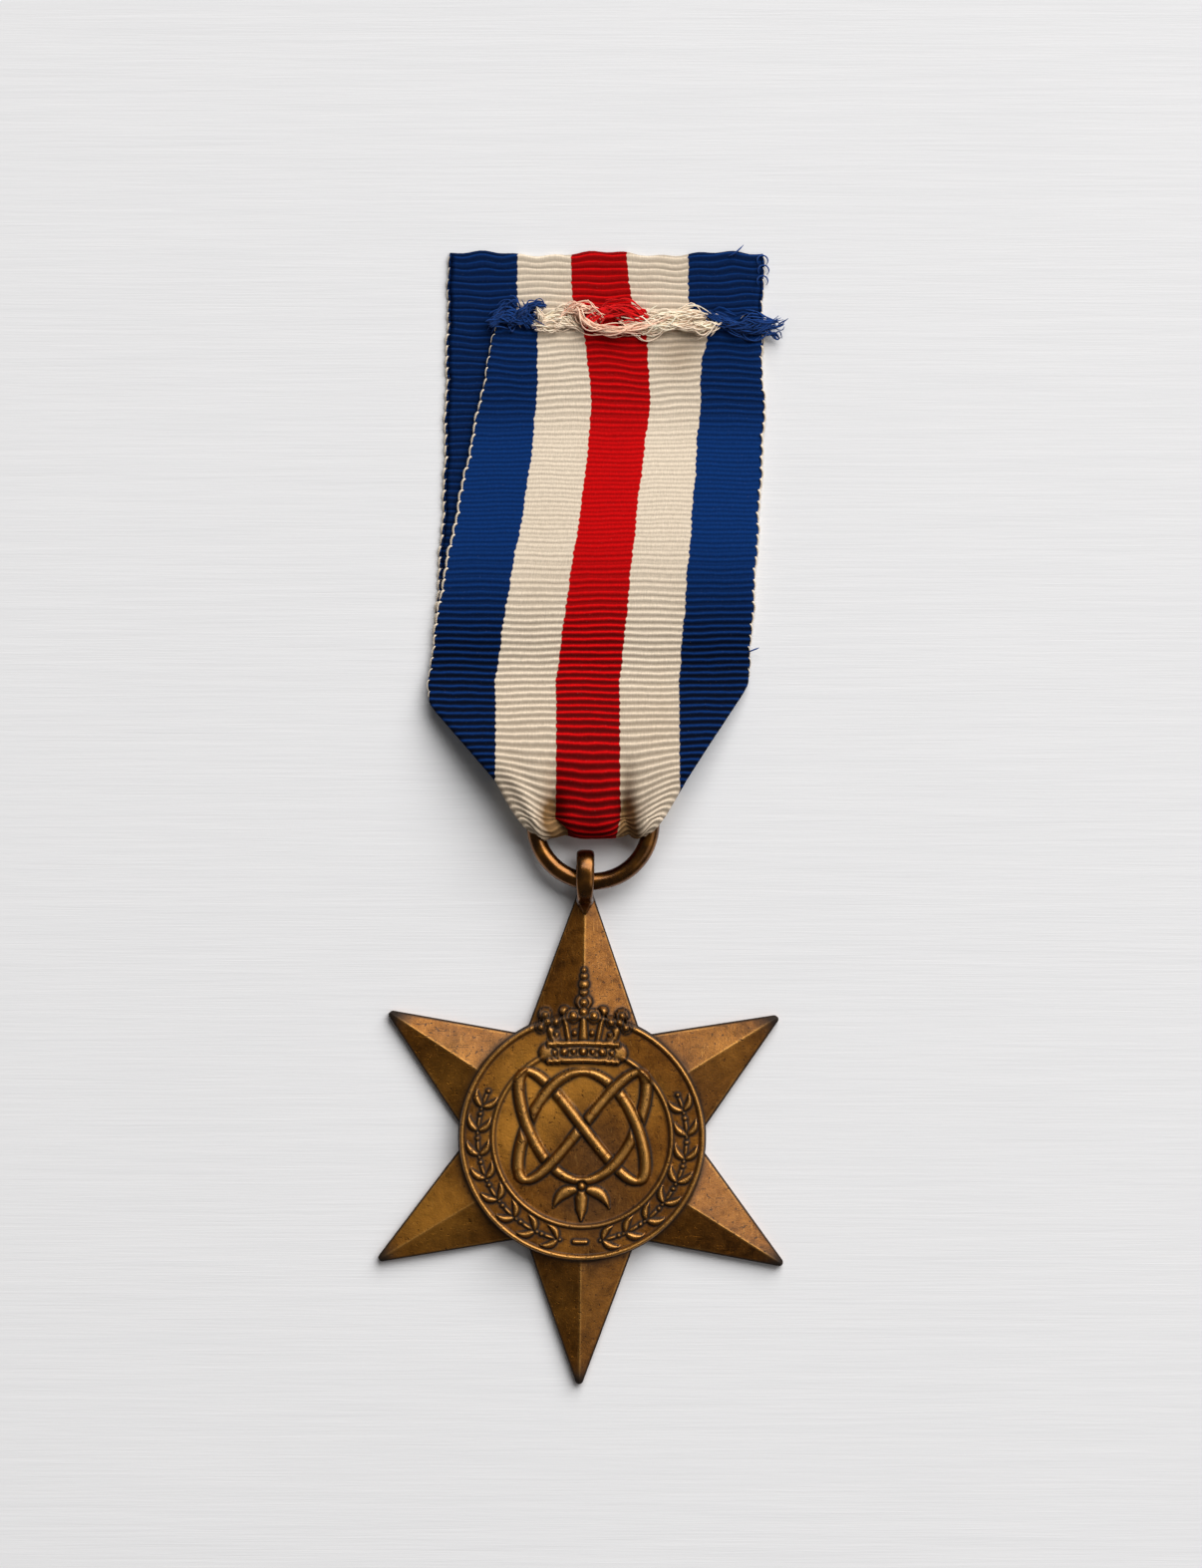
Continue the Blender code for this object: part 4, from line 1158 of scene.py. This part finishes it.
STRANDS = (
    # three points of a bowed path, spread, height, share of all threads, dye
    ((-9.0, 51.2), (-6.8, 52.6), (-4.9, 50.9), 0.62, 0.9, 0.14, "blue"),
    ((-6.6, 51.6), (-5.4, 53.5), (-3.9, 52.9), 0.25, 1.2, 0.04, "blue"),
    ((-4.9, 53.0), (-4.0, 52.6), (-4.1, 51.1), 0.26, 1.1, 0.03, "cream"),
    ((-4.4, 50.6), (-2.6, 51.0), (-1.0, 50.9), 0.30, 0.6, 0.04, "cream"),
    ((-1.9, 51.9), (-0.2, 53.7), (1.9, 51.9), 0.34, 1.1, 0.07, "pink"),
    ((-0.3, 52.3), (1.3, 49.2), (7.2, 51.0), 0.34, 1.4, 0.11, "pink"),
    ((0.8, 51.1), (3.2, 53.6), (6.9, 51.6), 0.52, 0.9, 0.15, "red"),
    ((6.2, 50.7), (9.2, 52.4), (12.5, 52.0), 0.46, 0.9, 0.11, "cream"),
    ((9.2, 51.0), (12.0, 50.2), (14.5, 51.3), 0.40, 1.2, 0.09, "cream"),
    ((13.6, 51.8), (16.6, 50.0), (19.4, 51.0), 0.55, 1.0, 0.15, "blue"),
    ((18.0, 51.6), (19.6, 50.0), (20.9, 51.2), 0.20, 0.6, 0.03, "blue"),
    ((18.2, 50.2), (19.6, 50.2), (20.6, 49.7), 0.16, 0.5, 0.02, "blue"),
    ((-9.2, 51.3), (-7.6, 52.7), (-5.8, 51.2), 0.62, 0.8, 0.14, "blue"),
    ((-6.6, 51.2), (-5.0, 53.6), (-3.7, 52.9), 0.34, 0.9, 0.06, "blue"),
    ((-4.6, 51.0), (-2.6, 52.1), (-0.4, 50.8), 0.50, 0.7, 0.10, "cream"),
    ((4.6, 51.2), (7.5, 50.3), (11.2, 51.3), 0.52, 0.8, 0.13, "cream"))


def strand_lines(count, rng):
    """Loose threads in ropes: each follows a part of its rope's bowed path, off to one side and waving.

    The path is a curve through three points, (1-t)^2 a + 2 t (1-t) b + t^2 c; one thread in six strays."""
    lines, dyes = [], []
    for first, middle, last, spread, height, share, dye in STRANDS:
        number = int(count * share)
        start = rng.uniform(-0.12, 0.75, (number, 1))
        t = start + rng.uniform(0.2, 0.45, (number, 1)) * np.linspace(0, 1, 10)[None]
        t3 = t[..., None]
        first, middle, last = np.array(first), np.array(middle), np.array(last)
        path = (1 - t3) ** 2 * first + 2 * t3 * (1 - t3) * middle + t3 ** 2 * last
        run = np.gradient(path, axis=1)
        run /= np.linalg.norm(run, axis=2, keepdims=True)
        stray = np.where(rng.uniform(0, 1, (number, 1)) < 0.17, 2.4, 1.0)
        fat = spread * (0.55 + 0.6 * np.sin(np.pi * np.clip(t, 0, 1)) + 0.25 * np.sin(9 * t + first[0]))
        angle = rng.uniform(0, 2 * np.pi, (number, 1)) + rng.normal(0, 2.5, (number, 1)) * t
        reach = fat * np.sqrt(rng.uniform(0, 1, (number, 1))) * stray
        wave = 0.10 * stray * np.sin(rng.uniform(4, 16, (number, 1)) * t + rng.uniform(0, 6, (number, 1)))
        off = reach * np.cos(angle) + wave
        side = np.stack([-run[..., 1], run[..., 0]], 2)
        z = 0.95 + height * (0.5 + 0.5 * np.sin(angle) * np.minimum(reach / spread, 1.3))
        lines.append(np.concatenate([path + off[..., None] * side, z[..., None]], 2))
        dyes += [dye] * number
    return np.concatenate(lines), dyes


def stitch_line():
    """The tacking thread: over the raw edge, down through the back leaf and up again, in one run."""
    left, right = knots(FRONT_LEFT, FRONT_END), knots(FRONT_RIGHT, FRONT_END)
    t = np.linspace(0, 1, 170)
    swing = 2 * np.pi * 7 * t
    x = left + 1.0 + (right - left - 2.0) * t + 0.25 * np.sin(swing)
    y = FRONT_END - 0.2 + 1.0 * np.cos(swing)
    z = 0.72 + 0.36 * np.tanh(2.5 * np.sin(swing + 1.2) + 0.6)
    return np.stack([x, y, z], 1)[None]


def stray_lines():
    """Single loose threads: tufts off the right side, loops and an end at the back leaf's corner, two
    curls at the left and a short end beside the mitre."""
    t = np.linspace(0, 1, 18)
    lines = []
    for k in range(7):
        x = 17.0 + (3.4 + 0.25 * (k % 3)) * t
        y = FRONT_END - 0.9 + 0.35 * k + (1.5 - 0.55 * k) * t ** 2
        lines.append(np.stack([x, y, 1.2 + 0.5 * np.sin(2.6 * t + 0.4 * k)], 1))
    angle = np.pi * 1.5 * t - 0.9
    for x, y in ((18.6, 57.6), (18.7, 56.6), (18.6, 55.5)):
        lines.append(np.stack([x + 0.55 * np.cos(angle) + 0.15, y + 0.55 * np.sin(angle), 0.4 + 0.2 * t], 1))
    lines.append(np.stack([15.2 + 1.6 * t, 58.1 + 1.15 * t ** 1.6, 0.45 + 0.3 * np.sin(3 * t)], 1))
    lines.append(np.stack([-9.6 + 2.9 * t, 50.4 + 2.4 * np.sin(2.4 * t), 1.1 + 0.5 * np.sin(3.0 * t)], 1))
    lines.append(np.stack([-9.2 + 3.3 * t, 50.1 + 2.1 * np.sin(2.7 * t), 1.1 + 0.6 * np.sin(3.0 * t)], 1))
    lines.append(np.stack([17.1 + 1.3 * t, 17.2 + 0.5 * t, 0.9 + 0.4 * np.sin(3 * t)], 1))
    return np.array(lines)


# ---------------------------------------------------------------- operators

class MEDAL_OT_star(Operator):
    """Make the struck star: facets, disc, rims, border leaves, interlaced line, sprig and crown"""

    bl_idname = "medal.star"
    bl_label = "Star"

    def execute(self, context):
        skin, faces, (grime, rub, gold) = star_points(context.scene.medal_sizes.stroke / MM)
        piece = mesh_piece("struck_star", to_world(skin), faces, star_finish(context.scene.medal_colours),
                           grime=grime, rub=rub, gold=gold)
        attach(piece, "star")
        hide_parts("star")
        return {"FINISHED"}


class MEDAL_OT_hardware(Operator):
    """Make the suspension ring, the eyelet and its brazed foot"""

    bl_idname = "medal.hardware"
    bl_label = "Ring and eyelet"

    def execute(self, context):
        finish = ring_finish(context.scene.medal_colours)
        ring = mesh_piece("wire_ring", *ring_surface(), finish, sharp=50)
        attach(ring, "ring")
        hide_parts("suspension_ring")
        loop_points, loop_faces = eyelet_surface()
        loop = mesh_piece("strap_eyelet", to_world(loop_points), loop_faces, finish)
        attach(loop, "star")
        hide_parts("eyelet")
        foot_points, foot_faces = foot_surface()
        foot = mesh_piece("eyelet_foot", to_world(foot_points), foot_faces, finish, sharp=60)
        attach(foot, "star")
        return {"FINISHED"}


class MEDAL_OT_ribbon(Operator):
    """Make the ribbon: one ribbed strip, folded at the mitre and through the ring"""

    bl_idname = "medal.ribbon"
    bl_label = "Ribbon"

    def execute(self, context):
        sizes = context.scene.medal_sizes
        pitch = sizes.rib_pitch / MM
        points, uv, coarse, stain = ribbon_surface(pitch, sizes.rib_depth / MM)
        rows, columns = points.shape[:2]
        faces = grid_faces(rows, columns)
        middle = columns // 2
        corner, beside, ahead = points[20, middle - 1], points[20, middle], points[21, middle]
        faces_down = np.cross(beside - corner, ahead - corner)[2] < 0
        if faces_down:
            faces = faces[:, ::-1]
        piece = mesh_piece("folded_ribbon", points, [faces], cloth_finish(context.scene.medal_colours, pitch),
                           uv=uv, closed=False, coarse=coarse.ravel(), stain=stain.ravel())
        wall = piece.modifiers.new("cloth", "SOLIDIFY")
        wall.thickness = sizes.cloth
        wall.offset = 0
        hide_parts("ribbon_front_leaf", "ribbon_back_leaf", "mitre_panel_front", "mitre_panel_back",
                    "mitre_fold_front_left", "mitre_fold_front_right", "mitre_fold_back_left",
                    "mitre_fold_back_right", "ribbon_turn")
        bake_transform(piece)
        return {"FINISHED"}


class MEDAL_OT_threads(Operator):
    """Make the edge threads, the frayed raw edge, the tacking thread and the stray ends"""

    bl_idname = "medal.threads"
    bl_label = "Threads"

    def execute(self, context):
        sizes, colours = context.scene.medal_sizes, context.scene.medal_colours
        finish = thread_finish()
        rng = np.random.default_rng(sizes.seed)
        cream = np.array(colours.cream[:])

        def piece_of(name, lines, radius, dye, sides=5):
            points, faces = threads(lines, radius, sides)
            spread = np.repeat(dye, lines.shape[1] * sides, axis=0)
            return mesh_piece(name, points, faces, finish, dye=spread)

        edge = selvedge_lines()
        edging = piece_of("selvedge_threads", edge, 0.12, np.tile(cream * 0.92, (len(edge), 1)))
        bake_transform(edging)

        loose, names = strand_lines(sizes.fray, rng)
        red, blue = np.array(colours.red[:]), np.array(colours.blue[:])
        # Cream threads are dyed lighter than the cloth, a painted highlight that offsets their own shade.
        table = {"cream": cream * [1.12, 1.05, 1.04], "pink": cream * [1.1, 0.80, 0.76],
                 "red": red, "blue": blue}
        dye = np.array([table[name] for name in names]) * rng.uniform(0.85, 1.2, (len(names), 1))
        fray = piece_of("frayed_edge", loose, rng.uniform(0.05, 0.09, len(names)), np.clip(dye, 0, 1))

        stray = stray_lines()
        strays = piece_of("stray_threads", stray, 0.085, np.tile(blue * 1.2, (len(stray), 1)))
        stitch = piece_of("tacking_stitches", stitch_line(), 0.1, cream[None] * 0.8, sides=6)
        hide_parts("tacking_thread")
        for piece in (fray, strays, stitch):
            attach(piece, "ribbon")
        return {"FINISHED"}


# Each lamp's place and side in metres, and its watts
LAMPS = {"key": ((1.04, 1.88, 2.0), 2.8, 123.5), "fill": ((0.60, -0.10, 0.62), 0.6, 0.9)}
ROOM_LIGHT = 0.09
TABLE_REACH = 3000.0
TABLE_TOP = -0.02
CAMERA_HEIGHT = 0.9
VIEW_CENTRE = (2.1, 3.66, 2.5)
VIEW_LENGTH = 161.3


class MEDAL_OT_stage(Operator):
    """Make the table, the lights and the camera straight above"""

    bl_idname = "medal.stage"
    bl_label = "Stage"

    def execute(self, context):
        scene = context.scene
        corners = np.array([(x * TABLE_REACH, y * TABLE_REACH, TABLE_TOP)
                            for x, y in ((-1, -1), (1, -1), (1, 1), (-1, 1))])
        table = mesh_piece("table", corners, [np.array([[0, 1, 2, 3]])], table_finish(scene.medal_colours),
                           closed=False)

        world = bpy.data.worlds.new("room")
        scene.world = world
        world.use_nodes = True
        backdrop = world.node_tree.nodes["Background"]
        backdrop.inputs["Color"].default_value = (1.0, 1.0, 1.0, 1.0)
        backdrop.inputs["Strength"].default_value = ROOM_LIGHT
        scene.view_settings.view_transform = "Standard"

        for name, (place, size, watts) in LAMPS.items():
            lamp = bpy.data.lights.new(name, "AREA")
            lamp.shape, lamp.size, lamp.energy = "SQUARE", size, watts
            holder = linked(name, lamp)
            holder.location = place
            aim = -holder.location
            holder.rotation_euler = aim.to_track_quat("-Z", "Y").to_euler()

        view = bpy.data.cameras.new("camera")
        camera = linked("camera", view)
        view.sensor_fit, view.sensor_height = "VERTICAL", 36.0
        view.lens = view.sensor_height * CAMERA_HEIGHT / (VIEW_LENGTH * MM)
        x, y, z = VIEW_CENTRE
        camera.location = (x * MM, y * MM, CAMERA_HEIGHT + z * MM)
        scene.camera = camera
        return {"FINISHED"}


class MEDAL_PT_panel(Panel):
    """Lists the steps and the settings"""

    bl_idname = "MEDAL_PT_panel"
    bl_label = "Star medal"
    bl_space_type = "VIEW_3D"
    bl_region_type = "UI"
    bl_category = "Medal"

    def draw(self, context):
        for step in STEPS:
            self.layout.operator(step.bl_idname)
        for group in (context.scene.medal_sizes, context.scene.medal_colours):
            for key in group.__annotations__:
                self.layout.prop(group, key)


STEPS = (MEDAL_OT_star, MEDAL_OT_hardware, MEDAL_OT_ribbon, MEDAL_OT_threads, MEDAL_OT_stage)
CLASSES = (MedalSizes, MedalColours, *STEPS, MEDAL_PT_panel)


def register():
    for cls in CLASSES:
        bpy.utils.register_class(cls)
    bpy.types.Scene.medal_sizes = PointerProperty(type=MedalSizes)
    bpy.types.Scene.medal_colours = PointerProperty(type=MedalColours)


def unregister():
    del bpy.types.Scene.medal_colours
    del bpy.types.Scene.medal_sizes
    for cls in reversed(CLASSES):
        bpy.utils.unregister_class(cls)


def main():
    register()
    for step in STEPS:
        group, name = step.bl_idname.split(".")
        getattr(getattr(bpy.ops, group), name)()


if __name__ == "__main__":
    main()
